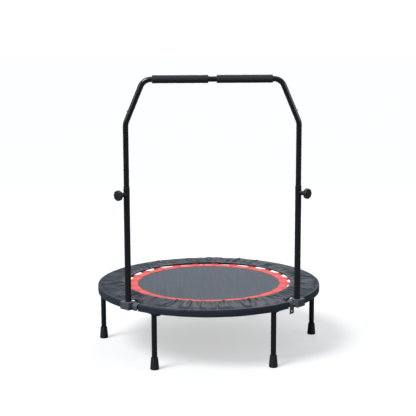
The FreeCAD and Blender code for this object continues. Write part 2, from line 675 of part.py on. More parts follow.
def make_side_tube(side, sign):
    """Upper side tube; returns the plug that guides its lower end in the post."""
    elbow, corner, rise = bar_corners()
    bottom = Vector(POST_X, POST_Y, LOCK_HEIGHT - TUBE_BELOW_LOCK)
    joint = elbow + rise * JOINT_FROM_ELBOW
    tube = bent_tube([bottom, elbow, joint], [ELBOW_BEND], BAR_OD, BAR_WALL)
    centre, outward = knob_frame(1)
    for index in range(HOLE_COUNT):
        lift = UP * (index * HOLE_PITCH)
        tube = tube.cut(rod(HOLE_D, centre + lift, centre + lift + outward * BAR_OD))
    tube = tube.cut(button_hole())
    save(mirrored(tube, sign), side + "_side_tube")

    bore = BAR_OD - 2 * BAR_WALL
    foot = bottom - UP * PLUG_LENGTH
    plug = rod(POST_ID - 2 * RUNNING, foot, bottom).fuse(rod(bore, bottom, bottom + UP * PLUG_SPIGOT))
    return mirrored(plug, sign)


def make_top_bar():
    elbow, corner, rise = bar_corners()
    joint = elbow + rise * JOINT_FROM_ELBOW
    flip = Vector(-1, 1, 1)
    ends = [mirror_point(joint, flip), mirror_point(corner, flip), corner, joint]
    bar = bent_tube(ends, [TOP_BEND, TOP_BEND], BAR_OD, BAR_WALL)
    swage = pipe(SWAGE_OD, SWAGE_ID, joint - rise * SWAGE_LENGTH, joint + rise * SHOULDER)
    shoulder = pipe(BAR_OD, SWAGE_ID, joint, joint + rise * SHOULDER)
    end = swage.fuse(shoulder).cut(button_hole())
    for sign in (-1, 1):
        bar = bar.fuse(mirrored(end, sign))
    save(bar.removeSplitter(), "top_bar")


def mirror_point(point, flip):
    return Vector(point.x * flip.x, point.y * flip.y, point.z * flip.z)


def make_snap_button(side, sign):
    """Push button on one leg of a bent clip; returns the clip's other leg."""
    centre, outward = button_frame()
    rise = bar_corners()[2]
    across = ALONG * (CLIP_WIDTH / 2)
    inner = CLIP_OFFSET - CLIP_THICKNESS

    def strip(low, high, start, end):
        """Flat leg between two distances from the axis and along the tube."""
        base = centre + outward * low + rise * start - across
        corners = [base, base + rise * (end - start), base + rise * (end - start) + across * 2, base + across * 2]
        return Part.Face(Part.makePolygon(corners + corners[:1])).extrude(outward * (high - low))

    pin = rod(BUTTON_D, centre + outward * CLIP_OFFSET, centre + outward * (BAR_OD / 2 + BUTTON_PROUD))
    tip = [e for e in pin.Edges if e.BoundBox.Center.distanceToPoint(centre) > BAR_OD / 2]
    pin = pin.makeFillet(1.2, [e for e in tip if len(e.Vertexes) == 1])
    button = pin.fuse(strip(inner, CLIP_OFFSET, -CLIP_LEG / 2, CLIP_LEG / 2))
    save(mirrored(button, sign), side + "_snap_button")

    back = strip(-CLIP_OFFSET, -inner, -CLIP_LEG / 2 - 3, CLIP_LEG / 2)
    bend = strip(-CLIP_OFFSET, inner, -CLIP_LEG / 2 - 3, -CLIP_LEG / 2 - 3 + CLIP_THICKNESS)
    return mirrored(back.fuse(bend), sign)


def make_grip(side, sign):
    start = Vector(GRIP_GAP / 2, POST_Y, BAR_HEIGHT)
    grip = pipe(GRIP_OD, BAR_OD, start, Vector(GRIP_END, POST_Y, BAR_HEIGHT))
    ends = [e for e in grip.Edges if e.Curve.TypeId == "Part::GeomCircle" and e.BoundBox.ZLength > BAR_OD + 1]
    save(mirrored(grip.makeFillet(2.0, ends), sign), side + "_grip")


def main():
    os.makedirs("parts", exist_ok=True)
    make_frame()
    make_legs()
    make_mat()
    make_springs()
    make_cover()
    make_top_bar()
    groups = {"clamp_bolts": [], "post_bushes": [], "guide_plugs": [], "snap_clips": []}
    for side, sign in (("left", -1), ("right", 1)):
        groups["clamp_bolts"] += make_clamp(side, sign)
        groups["post_bushes"].append(make_post(side, sign))
        groups["guide_plugs"].append(make_side_tube(side, sign))
        groups["snap_clips"].append(make_snap_button(side, sign))
        make_knob(side, sign)
        make_grip(side, sign)
    for name, pieces in groups.items():
        save(Part.makeCompound(pieces), name)


main()
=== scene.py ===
import json
import math

import bmesh
import bpy
import numpy as np
from bpy.props import FloatProperty, FloatVectorProperty, IntProperty, PointerProperty
from mathutils import Matrix, Vector


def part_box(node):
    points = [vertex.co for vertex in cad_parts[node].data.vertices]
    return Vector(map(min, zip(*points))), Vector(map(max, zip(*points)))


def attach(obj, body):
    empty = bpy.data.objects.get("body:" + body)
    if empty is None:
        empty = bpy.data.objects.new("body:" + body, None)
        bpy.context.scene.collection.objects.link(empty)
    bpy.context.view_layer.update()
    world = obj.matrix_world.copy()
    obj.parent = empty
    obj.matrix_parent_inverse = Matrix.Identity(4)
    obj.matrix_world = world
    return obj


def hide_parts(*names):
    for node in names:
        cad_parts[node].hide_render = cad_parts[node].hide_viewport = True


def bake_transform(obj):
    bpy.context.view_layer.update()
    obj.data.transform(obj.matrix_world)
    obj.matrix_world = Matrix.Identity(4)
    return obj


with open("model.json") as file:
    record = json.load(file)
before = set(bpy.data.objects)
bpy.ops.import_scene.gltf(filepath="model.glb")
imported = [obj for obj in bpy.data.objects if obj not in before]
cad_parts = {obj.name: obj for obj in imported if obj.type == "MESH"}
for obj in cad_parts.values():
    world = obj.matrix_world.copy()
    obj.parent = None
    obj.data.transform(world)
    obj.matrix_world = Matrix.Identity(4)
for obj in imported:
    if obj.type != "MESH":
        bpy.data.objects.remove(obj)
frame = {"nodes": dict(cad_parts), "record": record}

bl_info = {
    "name": "Mini Trampoline Looks",
    "version": (1, 0, 0),
    "blender": (4, 5, 0),
    "location": "View3D > Sidebar > Trampoline",
    "description": "Cloth, webbing, springs, grips and finishes of a mini trampoline round its packed frame",
    "category": "Add Mesh",
}

# ------------------------------------------------------------ places from the frame
MM = 0.001
TAU = 2 * math.pi
TINY = 1e-6
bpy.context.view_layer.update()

_ring_low, _ring_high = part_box("frame_half_right")
RING_R = (_ring_high.z - _ring_low.z) / 2
RING_RADIUS = _ring_high.x - RING_R
RING_Z = (_ring_high.z + _ring_low.z) / 2

_mat_low, _mat_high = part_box("mat")
MAT_TOP = _mat_high.z
MAT_THICKNESS = _mat_high.z - _mat_low.z
MAT_MIDDLE = (_mat_high.z + _mat_low.z) / 2
SPRING_COUNT = 24
SPRING_ANGLES = (np.arange(SPRING_COUNT) + 0.5) * TAU / SPRING_COUNT
CORNER_ANGLE = SPRING_ANGLES[0]
MAT_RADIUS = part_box("mat_border")[1].x / math.cos(CORNER_ANGLE)

_link_low, _link_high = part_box("mat_links")
LINK_WIRE = (_link_high.z - _link_low.z) / 2
LINK_APEX = (_link_high.x - LINK_WIRE / 2) / math.cos(CORNER_ANGLE)
HOOK_RISE = 3.0 * MM
HOOK_Z = RING_Z + HOOK_RISE
HOOK_WALL = RING_RADIUS - math.sqrt(RING_R ** 2 - HOOK_RISE ** 2)

_skirt_low, _skirt_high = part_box("cover_skirt")
_elastic_low, _elastic_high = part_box("cover_elastic")
ELASTIC_R = (_elastic_high.z - _elastic_low.z) / 2
COVER_INNER = _elastic_high.x - 2 * ELASTIC_R
COVER_INNER_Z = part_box("cover_top")[1].z
COVER_OUTER = _skirt_high.y
SKIRT_TOP = _skirt_high.z
SKIRT_BOTTOM = _skirt_low.z
CREASE_RISE = 4.0 * MM
CREASE_Z = SKIRT_TOP + CREASE_RISE


def box_middle(name):
    """Middle of a CAD piece's box."""
    low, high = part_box(name)
    return (low + high) / 2


POST_AXIS = box_middle("right_post")
CLAMP_ANGLE = math.atan2(POST_AXIS.x, -POST_AXIS.y)
FRONT = -TAU / 4
LEGS = [box_middle(name) for name in frame["nodes"]
        if name.startswith("leg_") and name.count("_") == 2 and "saddle" not in name]
LEG_ANGLES = [math.atan2(leg.y, leg.x) for leg in LEGS]


# ------------------------------------------------------------------- settings
def length_setting(name, description, default):
    """Length setting in metres."""
    return FloatProperty(name=name, description=description, default=default, unit="LENGTH")


def colour_setting(name, description, default):
    """Colour setting, linear red, green and blue."""
    return FloatVectorProperty(name=name, description=description, default=default, subtype="COLOR", min=0, max=1)


class TrampolineCover(bpy.types.PropertyGroup):
    """Sizes and colours of the gathered spring cover."""
    pleats: IntProperty(name="Pleats", description="Gathers round the inner hem", default=74, min=24)
    pleat_height: length_setting("Pleat Height", "Rise of a gather at the inner hem", 9.2 * MM)
    thickness: length_setting("Cloth Thickness", "Thickness of the coated cloth", 0.7 * MM)
    colour: colour_setting("Cloth Colour", "Charcoal of the cover", (0.019, 0.0255, 0.039))


class TrampolineMat(bpy.types.PropertyGroup):
    """Sizes and colours of the mat, its border and its tabs."""
    border_width: length_setting("Border Width", "Width of the red border", 37 * MM)
    tab_length: length_setting("Tab Length", "Reach of a tab past the border", 18 * MM)
    tab_root: length_setting("Tab Root", "Width of a tab at the border", 40 * MM)
    tab_tip: length_setting("Tab Tip", "Width of a tab at its link", 27 * MM)
    mat_colour: colour_setting("Mat Colour", "Grey of the woven mat", (0.054, 0.066, 0.088))
    red: colour_setting("Webbing Colour", "Red of border and tabs", (0.80, 0.062, 0.048))


class TrampolineMetal(bpy.types.PropertyGroup):
    """Finishes of the metal pieces and sizes of the springs."""
    black: colour_setting("Powder Coat", "Black of the tubes", (0.007, 0.0085, 0.0115))
    zinc: colour_setting("Zinc", "Plated steel of springs and links", (0.60, 0.61, 0.63))
    wire: length_setting("Spring Wire", "Wire diameter of the springs", 1.9 * MM)
    coil: length_setting("Coil Diameter", "Outer diameter of the springs", 9.8 * MM)


class TrampolineStage(bpy.types.PropertyGroup):
    """The studio round the object."""
    distance: length_setting("Camera Distance", "Camera to the ring's middle, along the floor", 4.561)
    height: length_setting("Camera Height", "Camera above the floor", 1.379)
    turn: FloatProperty(name="Camera Turn", description="Camera's angle round the object from the front",
                        default=math.radians(-3.0), subtype="ANGLE")
    tilt: FloatProperty(name="Camera Tilt", description="Camera's tilt below the horizon",
                        default=math.radians(9.80), subtype="ANGLE")
    lens: FloatProperty(name="Lens", description="Focal length in millimetres", default=92.24)
    sun: FloatProperty(name="Key Light", description="Strength of the wide light overhead", default=3.2)


# ----------------------------------------------------------------- mesh tools
def stacked(*values):
    """Arrays brought to one shape and joined along a new last axis: points of three, UVs of two."""
    return np.stack(np.broadcast_arrays(*values), -1)


def polar(theta, radius, height):
    """Points from their angles, radii and heights."""
    return stacked(radius * np.cos(theta), radius * np.sin(theta), height)


def lengths(path):
    """Length along a path up to each of its points."""
    return np.concatenate([[0], np.cumsum(np.linalg.norm(np.diff(path, axis=0), axis=1))])


def nearest(values, target):
    """Index of the value closest to a target."""
    return int(np.argmin(np.abs(values - target)))


def grid_part(points, uv, closed_u=False, closed_v=False):
    """Vertices, quads and corner UVs of a grid of points; a closed direction joins its last row to its first."""
    rows, columns = points.shape[:2]
    i = np.arange(rows if closed_u else rows - 1)
    j = np.arange(columns if closed_v else columns - 1)
    i, j = np.meshgrid(i, j, indexing="ij")
    next_i = (i + 1) % rows
    next_j = (j + 1) % columns
    quads = stacked(i * columns + j, next_i * columns + j, next_i * columns + next_j, i * columns + next_j)
    corners = np.stack([uv[i, j], uv[i + 1, j], uv[i + 1, j + 1], uv[i, j + 1]], -2)
    return points.reshape(-1, 3), quads.reshape(-1, 4), corners.reshape(-1, 2)


def ring_part(points, uv):
    """Part of a surface whose rows run once round the ring; its faces go column by column."""
    uv = uv.transpose(1, 0, 2)
    uv = np.concatenate([uv, uv[:1] + [0, TAU * RING_RADIUS]])
    return grid_part(points.transpose(1, 0, 2), uv[:, :, ::-1], closed_u=True)


def with_faces(part, keep):
    """A part with only some of its faces."""
    points, quads, corners = part
    return points, quads[keep], corners[keep.repeat(4)]


def joined(parts):
    """Several parts as one, with their face indices shifted."""
    points, quads, corners = zip(*parts)
    starts = np.cumsum([0] + [len(p) for p in points[:-1]])
    return (np.concatenate(points), np.concatenate([q + s for q, s in zip(quads, starts)]),
            np.concatenate(corners))


def spun(part, angles):
    """Copies of a part turned about the ring's axis."""
    points, quads, corners = part
    cos, sin = np.cos(angles)[:, None], np.sin(angles)[:, None]
    x, y, z = points.T
    turned = stacked(cos * x - sin * y, sin * x + cos * y, z)
    starts = np.arange(len(angles))[:, None, None] * len(points)
    return turned.reshape(-1, 3), (quads[None] + starts).reshape(-1, 4), np.tile(corners, (len(angles), 1))


def add_object(name, data):
    """New object linked to the scene."""
    piece = bpy.data.objects.new(name, data)
    bpy.context.scene.collection.objects.link(piece)
    return piece


def build(name, part, kind, body=None, weld=False):
    """Makes an object of a part with a kind of finish, shades it smooth, and puts it on its body.
    """
    points, quads, corners = part
    mesh = bpy.data.meshes.new(name)
    mesh.vertices.add(len(points))
    mesh.vertices.foreach_set("co", points.astype(np.float32).ravel())
    mesh.loops.add(len(quads) * 4)
    mesh.loops.foreach_set("vertex_index", quads.astype(np.int32).ravel())
    mesh.polygons.add(len(quads))
    mesh.polygons.foreach_set("loop_start", np.arange(0, len(quads) * 4, 4, dtype=np.int32))
    layer = mesh.uv_layers.new(name="UVMap")
    layer.data.foreach_set("uv", corners.astype(np.float32).ravel())
    mesh.update(calc_edges=True)
    mesh.validate()
    mesh.shade_smooth()
    mesh.materials.append(material(kind))
    piece = add_object(name, mesh)
    if weld:
        weld_mesh(mesh)
    if body:
        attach(piece, body)
    return piece


def weld_mesh(mesh):
    """Merges points that coincide, so poles and seams are closed."""
    work = bmesh.new()
    work.from_mesh(mesh)
    bmesh.ops.remove_doubles(work, verts=work.verts, dist=TINY)
    work.to_mesh(mesh)
    work.free()


def set_painted_shade(piece, values):
    """Stores how much painted shade darkens each point of a cloth, for its finish to paint: deep in the gathers,
    in the hem's curl, at the border's folded corners, and all over the tabs and the joining strap.
    """
    layer = piece.data.attributes.new("fold_and_shade", "FLOAT", "POINT")
    layer.data.foreach_set("value", values.reshape(-1).astype(np.float32))


def solidify(piece, thickness):
    """Gives a cloth its thickness below the built surface, kept as a modifier."""
    wall = piece.modifiers.new("Thickness", "SOLIDIFY")
    wall.thickness = thickness
    wall.offset = -1.0


def tube_part(path, radius, reference, sides=10, closed=False):
    """Round section carried along a path.

    At each station the section lies across the path's direction T: one axis is the reference
    vector with its share along T taken off, the other is T crossed with it. The point at angle a is
    path + radius * (cos a * axis + sin a * other). Open ends are closed by a station of radius zero.
    """
    path = np.asarray(path, float)
    reference = np.broadcast_to(np.asarray(reference, float), path.shape)
    if closed:
        tangent = np.roll(path, -1, 0) - np.roll(path, 1, 0)
    else:
        tangent = np.gradient(path, axis=0)
    tangent /= np.linalg.norm(tangent, axis=1, keepdims=True)
    axis = reference - (reference * tangent).sum(1, keepdims=True) * tangent
    axis /= np.linalg.norm(axis, axis=1, keepdims=True)
    other = np.cross(tangent, axis)
    radii = np.full(len(path), radius)
    if not closed:
        path, axis, other = (np.concatenate([line[:1], line, line[-1:]]) for line in (path, axis, other))
        radii = np.concatenate([[0], radii, [0]])
    angle = (np.arange(sides) * TAU / sides)[None, :, None]
    section = np.cos(angle) * axis[:, None] + np.sin(angle) * other[:, None]
    points = path[:, None] + radii[:, None, None] * section
    along = lengths(path)
    along = np.append(along, along[-1]) if closed else along
    uv = stacked(along[:, None], np.arange(sides + 1) / sides * TAU * radius)
    return grid_part(points, uv, closed_u=closed, closed_v=True)


def revolved_part(profile, sides):
    """Profile of (distance from the ring's axis, height) turned through a full circle."""
    profile = np.asarray(profile, float)
    radius, height = profile.T
    angle = (np.arange(sides) * TAU / sides)[:, None]
    points = stacked(-np.sin(angle) * radius, np.cos(angle) * radius, height)
    around = np.arange(sides + 1) / sides * TAU * radius.max()
    return grid_part(points, stacked(around[:, None], lengths(profile)), closed_u=True)


def ring_noise(angle, count, seed):
    """Smooth random wave round the ring: count random values, joined by a cosine blend, from -1 to 1."""
    values = np.random.default_rng(seed).uniform(-1, 1, count)
    place = (np.asarray(angle) / TAU % 1.0) * count
    cell = np.floor(place).astype(int)
    blend = (1 - np.cos(math.pi * (place - cell))) / 2
    return values[cell % count] * (1 - blend) + values[(cell + 1) % count] * blend


def smooth_step(value, low, high):
    """0 below low, 1 above high, smooth between."""
    share = np.clip((value - low) / (high - low), 0, 1)
    return share * share * (3 - 2 * share)


def angle_gap(angle, place):
    """Signed angle from a place on the ring, from minus half a turn to half a turn."""
    return (np.asarray(angle) - place + math.pi) % TAU - math.pi


# ------------------------------------------------------------- shader groups
class Wires:
    """Short way to add nodes to a tree and join them."""

    def __init__(self, tree):
        self.tree = tree

    def add(self, kind, values=None, **settings):
        """New shader node with some settings and inputs."""
        node = self.tree.nodes.new("ShaderNode" + kind)
        for key, value in settings.items():
            setattr(node, key, value)
        return self.fill(node, values or {})

    def fill(self, node, values):
        """Sets a node's inputs by name, each to a number or to another node's output."""
        for key, value in values.items():
            self.put(node.inputs[key], value)
        return node

    def put(self, socket, value):
        if isinstance(value, bpy.types.NodeSocket):
            self.tree.links.new(value, socket)
        else:
            socket.default_value = value

    def math(self, operation, first, second=None, clamp=False):
        node = self.add("Math", operation=operation, use_clamp=clamp)
        self.put(node.inputs[0], first)
        if second is not None:
            self.put(node.inputs[1], second)
        return node.outputs[0]

    def mix(self, share, first, second, blend="MIX"):
        node = self.add("Mix", data_type="RGBA", blend_type=blend)
        for index, value in ((0, share), (6, first), (7, second)):
            self.put(node.inputs[index], value)
        return node.outputs[2]

    def remap(self, value, low, high, out_low, out_high):
        return self.add("MapRange", {"Value": value, "From Min": low, "From Max": high,
                                     "To Min": out_low, "To Max": out_high}).outputs[0]


def new_group(name, inputs, outputs):
    """Shader node group with named sockets; inputs are (name, default), where a vector has no default.

    Returns the group, its wires, the outputs of its input node and its output node.
    """
    group = bpy.data.node_groups.new(name, "ShaderNodeTree")
    for label, default in inputs:
        kind = "NodeSocketVector" if default is None else "NodeSocketFloat"
        socket = group.interface.new_socket(name=label, in_out="INPUT", socket_type=kind)
        if default is not None:
            socket.default_value = default
    for label in outputs:
        group.interface.new_socket(name=label, in_out="OUTPUT", socket_type="NodeSocketFloat")
    given = group.nodes.new("NodeGroupInput").outputs
    return group, Wires(group), given, group.nodes.new("NodeGroupOutput")


def weave_group():
    """Plain or twill weave: each thread is a rounded ridge, over and under the crossing ones by turns."""
    group, w, given, sink = new_group("Weave", [("Vector", None), ("Threads", 1000.0), ("Twill", 0.0)],
                                      ["Height", "Thread", "Shade"])
    split = w.add("SeparateXYZ", {"Vector": given["Vector"]})
    u = w.math("MULTIPLY", split.outputs[0], given["Threads"])
    v = w.math("MULTIPLY", split.outputs[1], given["Threads"])
    warp = w.math("ABSOLUTE", w.math("SINE", w.math("MULTIPLY", u, math.pi)))
    weft = w.math("ABSOLUTE", w.math("SINE", w.math("MULTIPLY", v, math.pi)))
    row = w.math("FLOOR", v)
    column = w.math("FLOOR", u)
    shifted = w.math("ADD", column, w.math("MULTIPLY", row, w.math("ADD", given["Twill"], 1.0)))
    over = w.math("GREATER_THAN", w.math("FLOORED_MODULO", shifted, 2.0), 0.5)
    under = w.math("SUBTRACT", 1.0, over)
    height = w.math("ADD", w.math("MULTIPLY", over, warp), w.math("MULTIPLY", under, weft))
    cell = w.add("CombineXYZ", {"X": column, "Y": row})
    threads = w.add("TexWhiteNoise", {"Vector": cell.outputs[0]}, noise_dimensions="2D")
    w.fill(sink, {"Height": height, "Thread": over, "Shade": threads.outputs["Value"]})
    return group


def grain_group():
    """Fine bumps and a slow cloudy variation."""
    group, w, given, sink = new_group("Grain", [("Vector", None), ("Scale", 900.0)], ["Height", "Cloud"])
    fine = w.add("TexNoise", {"Vector": given["Vector"], "Scale": given["Scale"], "Detail": 3.0})
    slow_scale = w.math("MULTIPLY", given["Scale"], 0.02)
    slow = w.add("TexNoise", {"Vector": given["Vector"], "Scale": slow_scale, "Detail": 4.0, "Roughness": 0.6})
    w.fill(sink, {"Height": fine.outputs["Fac"], "Cloud": slow.outputs["Fac"]})
    return group


def dust_group():
    """Pale dust that gathers in soft patches on faces that look up."""
    group, w, given, sink = new_group("Dust", [("Vector", None), ("Amount", 0.2)], ["Mask"])
    noise = w.add("TexNoise", {"Vector": given["Vector"], "Scale": 60.0, "Detail": 6.0, "Roughness": 0.7})
    patch = w.remap(noise.outputs["Fac"], 0.45, 0.75, 0.0, 1.0)
    facing = w.add("SeparateXYZ", {"Vector": w.add("NewGeometry").outputs["Normal"]})
    up = w.math("MAXIMUM", facing.outputs[2], 0.0)
    w.fill(sink, {"Mask": w.math("MULTIPLY", w.math("MULTIPLY", patch, up), given["Amount"])})
    return group


def stitch_group():
    """Row of stitches along U at a height V: a dash of each pitch is thread, the rest a shallow groove."""
    group, w, given, sink = new_group(
        "Stitches", [("Vector", None), ("Row", 0.0), ("Pitch", 0.004), ("Width", 0.0011)], ["Thread", "Groove"])
    split = w.add("SeparateXYZ", {"Vector": given["Vector"]})
    away = w.math("ABSOLUTE", w.math("SUBTRACT", split.outputs[1], given["Row"]))
    near = w.math("DIVIDE", away, given["Width"])
    across = w.math("SUBTRACT", 1.0, near, clamp=True)
    along = w.math("FRACT", w.math("DIVIDE", split.outputs[0], given["Pitch"]))
    dash = w.math("LESS_THAN", along, 0.72)
    wide = w.math("SUBTRACT", 1.0, w.math("MULTIPLY", near, 0.4), clamp=True)
    w.fill(sink, {"Thread": w.math("MULTIPLY", across, dash), "Groove": wide})
    return group


GROUPS = {}


def group_node(w, name, **values):
    """The named shader group placed in a material, built the first time it is asked for."""
    makers = {"Weave": weave_group, "Grain": grain_group, "Dust": dust_group, "Stitches": stitch_group}
    if name not in GROUPS:
        GROUPS[name] = makers[name]()
    node = w.tree.nodes.new("ShaderNodeGroup")
    node.node_tree = GROUPS[name]
    return w.fill(node, values)


def fresh_wires(owner):
    """Empty node tree of a material or a world."""
    owner.use_nodes = True
    owner.node_tree.nodes.clear()
    return Wires(owner.node_tree)


def new_material(name):
    """Empty Principled material, its wires and its shader."""
    material = bpy.data.materials.new(name)
    w = fresh_wires(material)
    shader = w.add("BsdfPrincipled")
    w.add("OutputMaterial", {"Surface": shader.outputs[0]})
    return material, w, shader


def rgba(colour, factor=1.0):
    """A colour times a factor, as four numbers."""
    return (*(min(1.0, channel * factor) for channel in colour[:3]), 1.0)


def coordinates(w, kind):
    """Places on the surface: kind is UV for cloth, in metres, or Object for solid pieces."""
    return w.add("TexCoord").outputs[kind]


def bump(w, shader, height, distance, strength, base=None):
    """Adds relief to a shader, over another bump if there is one, and returns the new normal."""
    node = w.add("Bump", {"Height": height, "Distance": distance, "Strength": strength})
    if base is not None:
        w.put(node.inputs["Normal"], base)
    w.put(shader.inputs["Normal"], node.outputs[0])
    return node.outputs[0]


def painted_shade_share(w):
    """The painted shade that the cloth stores at each point, from 0 to 1."""
    return w.add("Attribute", attribute_name="fold_and_shade", attribute_type="GEOMETRY").outputs["Fac"]


def stitch_rows(w, place, rows, pitch, width):
    """Thread and groove of two rows of stitches."""
    first, second = (group_node(w, "Stitches", Vector=place, Row=row, Pitch=pitch, Width=width) for row in rows)
    return [w.math("MAXIMUM", first.outputs[name], second.outputs[name]) for name in ("Thread", "Groove")]


# ------------------------------------------------------------------- finishes
CLOUDY = (0.3, 0.7)         # the part of the slow noise's range that finishes are spread over


def mottled(name, colours, roughness, scale, dust, depth, strength):
    """A finish whose colour and gloss drift between two values, with fine bumps and dust on top.

    dust is its amount and its colour. Returns the material, its wires, its shader and its normal.
    """
    material, w, shader = new_material(name)
    place = coordinates(w, "Object")
    grain = group_node(w, "Grain", Vector=place, Scale=scale)
    patches = group_node(w, "Dust", Vector=place, Amount=dust[0])
    base = w.mix(grain.outputs["Cloud"], *colours)
    w.fill(shader, {"Base Color": w.mix(patches.outputs["Mask"], base, dust[1]),
                    "Roughness": w.remap(grain.outputs["Cloud"], *CLOUDY, *roughness)})
    return material, w, shader, bump(w, shader, grain.outputs["Height"], depth, strength)


def powder_coat(settings):
    """Glossy black powder coat: orange-peel bump, cloudy gloss and a little dust."""
    material, w, shader = mottled(
        "Powder coat", (rgba(settings.black, 0.8), rgba(settings.black, 1.25)), (0.20, 0.30), 1100.0,
        (0.10, (0.28, 0.28, 0.28, 1)), 0.00006, 0.5)[:3]
    w.fill(shader, {"Specular IOR Level": 0.5, "Coat Weight": 0.25, "Coat Roughness": 0.10})
    return material


def satin_coat():
    """Satin coat of the pressed clamp parts: greyer and duller than the tubes, rubbed on top."""
    return mottled("Satin coat", ((0.058, 0.065, 0.075, 1), (0.086, 0.096, 0.110, 1)), (0.52, 0.64), 900.0,
                   (0.18, (0.28, 0.29, 0.30, 1)), 0.00008, 0.5)[0]


def dull_plastic(name, colour, roughness, bump_depth, scale):
    """Moulded plastic or rubber: fine grain, slow mottling and dust on top."""
    return mottled(name, (rgba(colour, 0.75), rgba(colour, 1.3)), (roughness - 0.06, roughness + 0.08), scale,
                   (0.16, (0.30, 0.29, 0.28, 1)), bump_depth, 0.8)[0]


def grip_foam():
    """Closed-cell foam: small pits and a soft, matt surface."""
    material, w, shader, normal = mottled(
        "Grip foam", ((0.0055, 0.0078, 0.0118, 1), (0.009, 0.012, 0.0175, 1)), (0.78, 0.78), 700.0,
        (0.06, (0.2, 0.2, 0.2, 1)), 0.0003, 0.35)
    cells = w.add("TexVoronoi", {"Vector": coordinates(w, "Object"), "Scale": 900.0}, feature="F1")
    w.fill(shader, {"Sheen Weight": 0.18})
    bump(w, shader, cells.outputs["Distance"], 0.00016, 0.5, normal)
    return material


def plated_steel(name, colour, roughness):
    """Zinc-plated steel: soft spangle in the colour and gloss, fine drawing marks."""
    material, w, shader = new_material(name)
    place = coordinates(w, "Object")
    grain = group_node(w, "Grain", Vector=place, Scale=1600.0)
    spangle = w.add("TexVoronoi", {"Vector": place, "Scale": 420.0}, feature="F1")
    tint = w.mix(grain.outputs["Cloud"], rgba(colour, 0.82), rgba(colour, 1.12))
    tint = w.mix(w.math("MULTIPLY", spangle.outputs["Distance"], 0.35), tint, rgba(colour, 0.6))
    w.fill(shader, {"Base Color": tint, "Metallic": 1.0,
                    "Roughness": w.remap(grain.outputs["Cloud"], *CLOUDY, roughness, roughness + 0.12)})
    bump(w, shader, grain.outputs["Height"], 0.00005, 0.4)
    return material


def cover_cloth(settings):
    """Coated charcoal cloth: plain weave, painted shade in the gathers and the hem's curl, two rows of stitches
    with painted shade in their grooves.
    """
    material, w, shader = new_material("Cover cloth")
    colour = settings.colour
    place = coordinates(w, "UV")
    weave = group_node(w, "Weave", Vector=place, Threads=1700.0)
    grain = group_node(w, "Grain", Vector=coordinates(w, "Object"), Scale=240.0)
    thread, groove = stitch_rows(w, place, (0.0065, 0.0125), 0.0036, 0.0009)
    base = w.mix(grain.outputs["Cloud"], rgba(colour, 0.86), rgba(colour, 1.16))
    base = w.mix(w.math("MULTIPLY", weave.outputs["Shade"], 0.25), base, rgba(colour, 0.72))
    # Painted shade in the stitch grooves: the groove mask darkens the cloth.
    base = w.mix(w.math("MULTIPLY", groove, 0.35), base, rgba(colour, 0.45))
    # Painted shade: the stored shade darkens the cloth towards a fifth of its colour in the gathers' valleys and
    # the hem's curl.
    base = w.mix(painted_shade_share(w), base, rgba(colour, 0.22))
    w.fill(shader, {"Base Color": w.mix(w.math("MULTIPLY", thread, 0.6), base, (0.035, 0.036, 0.040, 1)),
                    "Roughness": w.remap(grain.outputs["Cloud"], *CLOUDY, 0.44, 0.56),
                    "Specular IOR Level": 0.33, "Sheen Weight": 0.04, "Sheen Roughness": 0.5})
    relief = w.math("ADD", w.math("MULTIPLY", weave.outputs["Height"], 0.35), w.math("MULTIPLY", thread, 1.6))
    relief = w.math("SUBTRACT", relief, w.math("MULTIPLY", groove, 1.2))
    first = bump(w, shader, grain.outputs["Height"], 0.0006, 0.22)
    bump(w, shader, relief, 0.00016, 0.7, first)
    return material


def mat_cloth(settings):
    """Woven polypropylene: two-way threads and faint lengthwise bands of painted sheen in the colour, which also
    vary the gloss.
    """
    material, w, shader = new_material("Mat cloth")
    colour = settings.mat_colour
    place = coordinates(w, "UV")
    weave = group_node(w, "Weave", Vector=place, Threads=900.0, Twill=1.0)
    grain = group_node(w, "Grain", Vector=place, Scale=260.0)
    split = w.add("SeparateXYZ", {"Vector": place})
    stretched = w.add("CombineXYZ", {"X": split.outputs[0], "Y": w.math("MULTIPLY", split.outputs[1], 0.04)})
    # Painted sheen: faint lengthwise bands scale the colour lighter and darker; the same bands vary the gloss.
    bands = w.add("TexNoise", {"Vector": stretched.outputs[0], "Scale": 90.0, "Detail": 3.0})
    painted_sheen_tone = w.remap(bands.outputs["Fac"], *CLOUDY, 0.90, 1.10)
    painted_sheen_grey = w.add("CombineColor", {"Red": painted_sheen_tone, "Green": painted_sheen_tone, "Blue": painted_sheen_tone})
    base = w.mix(grain.outputs["Cloud"], rgba(colour, 0.93), rgba(colour, 1.07))
    shaded = w.mix(w.math("MULTIPLY", weave.outputs["Thread"], 0.30), base, rgba(colour, 0.70))
    w.fill(shader, {"Base Color": w.mix(1.0, shaded, painted_sheen_grey.outputs[0], "MULTIPLY"),
                    "Roughness": w.remap(bands.outputs["Fac"], *CLOUDY, 0.52, 0.64), "Specular IOR Level": 0.4})
    bump(w, shader, weave.outputs["Height"], 0.00020, 0.6)
    return material


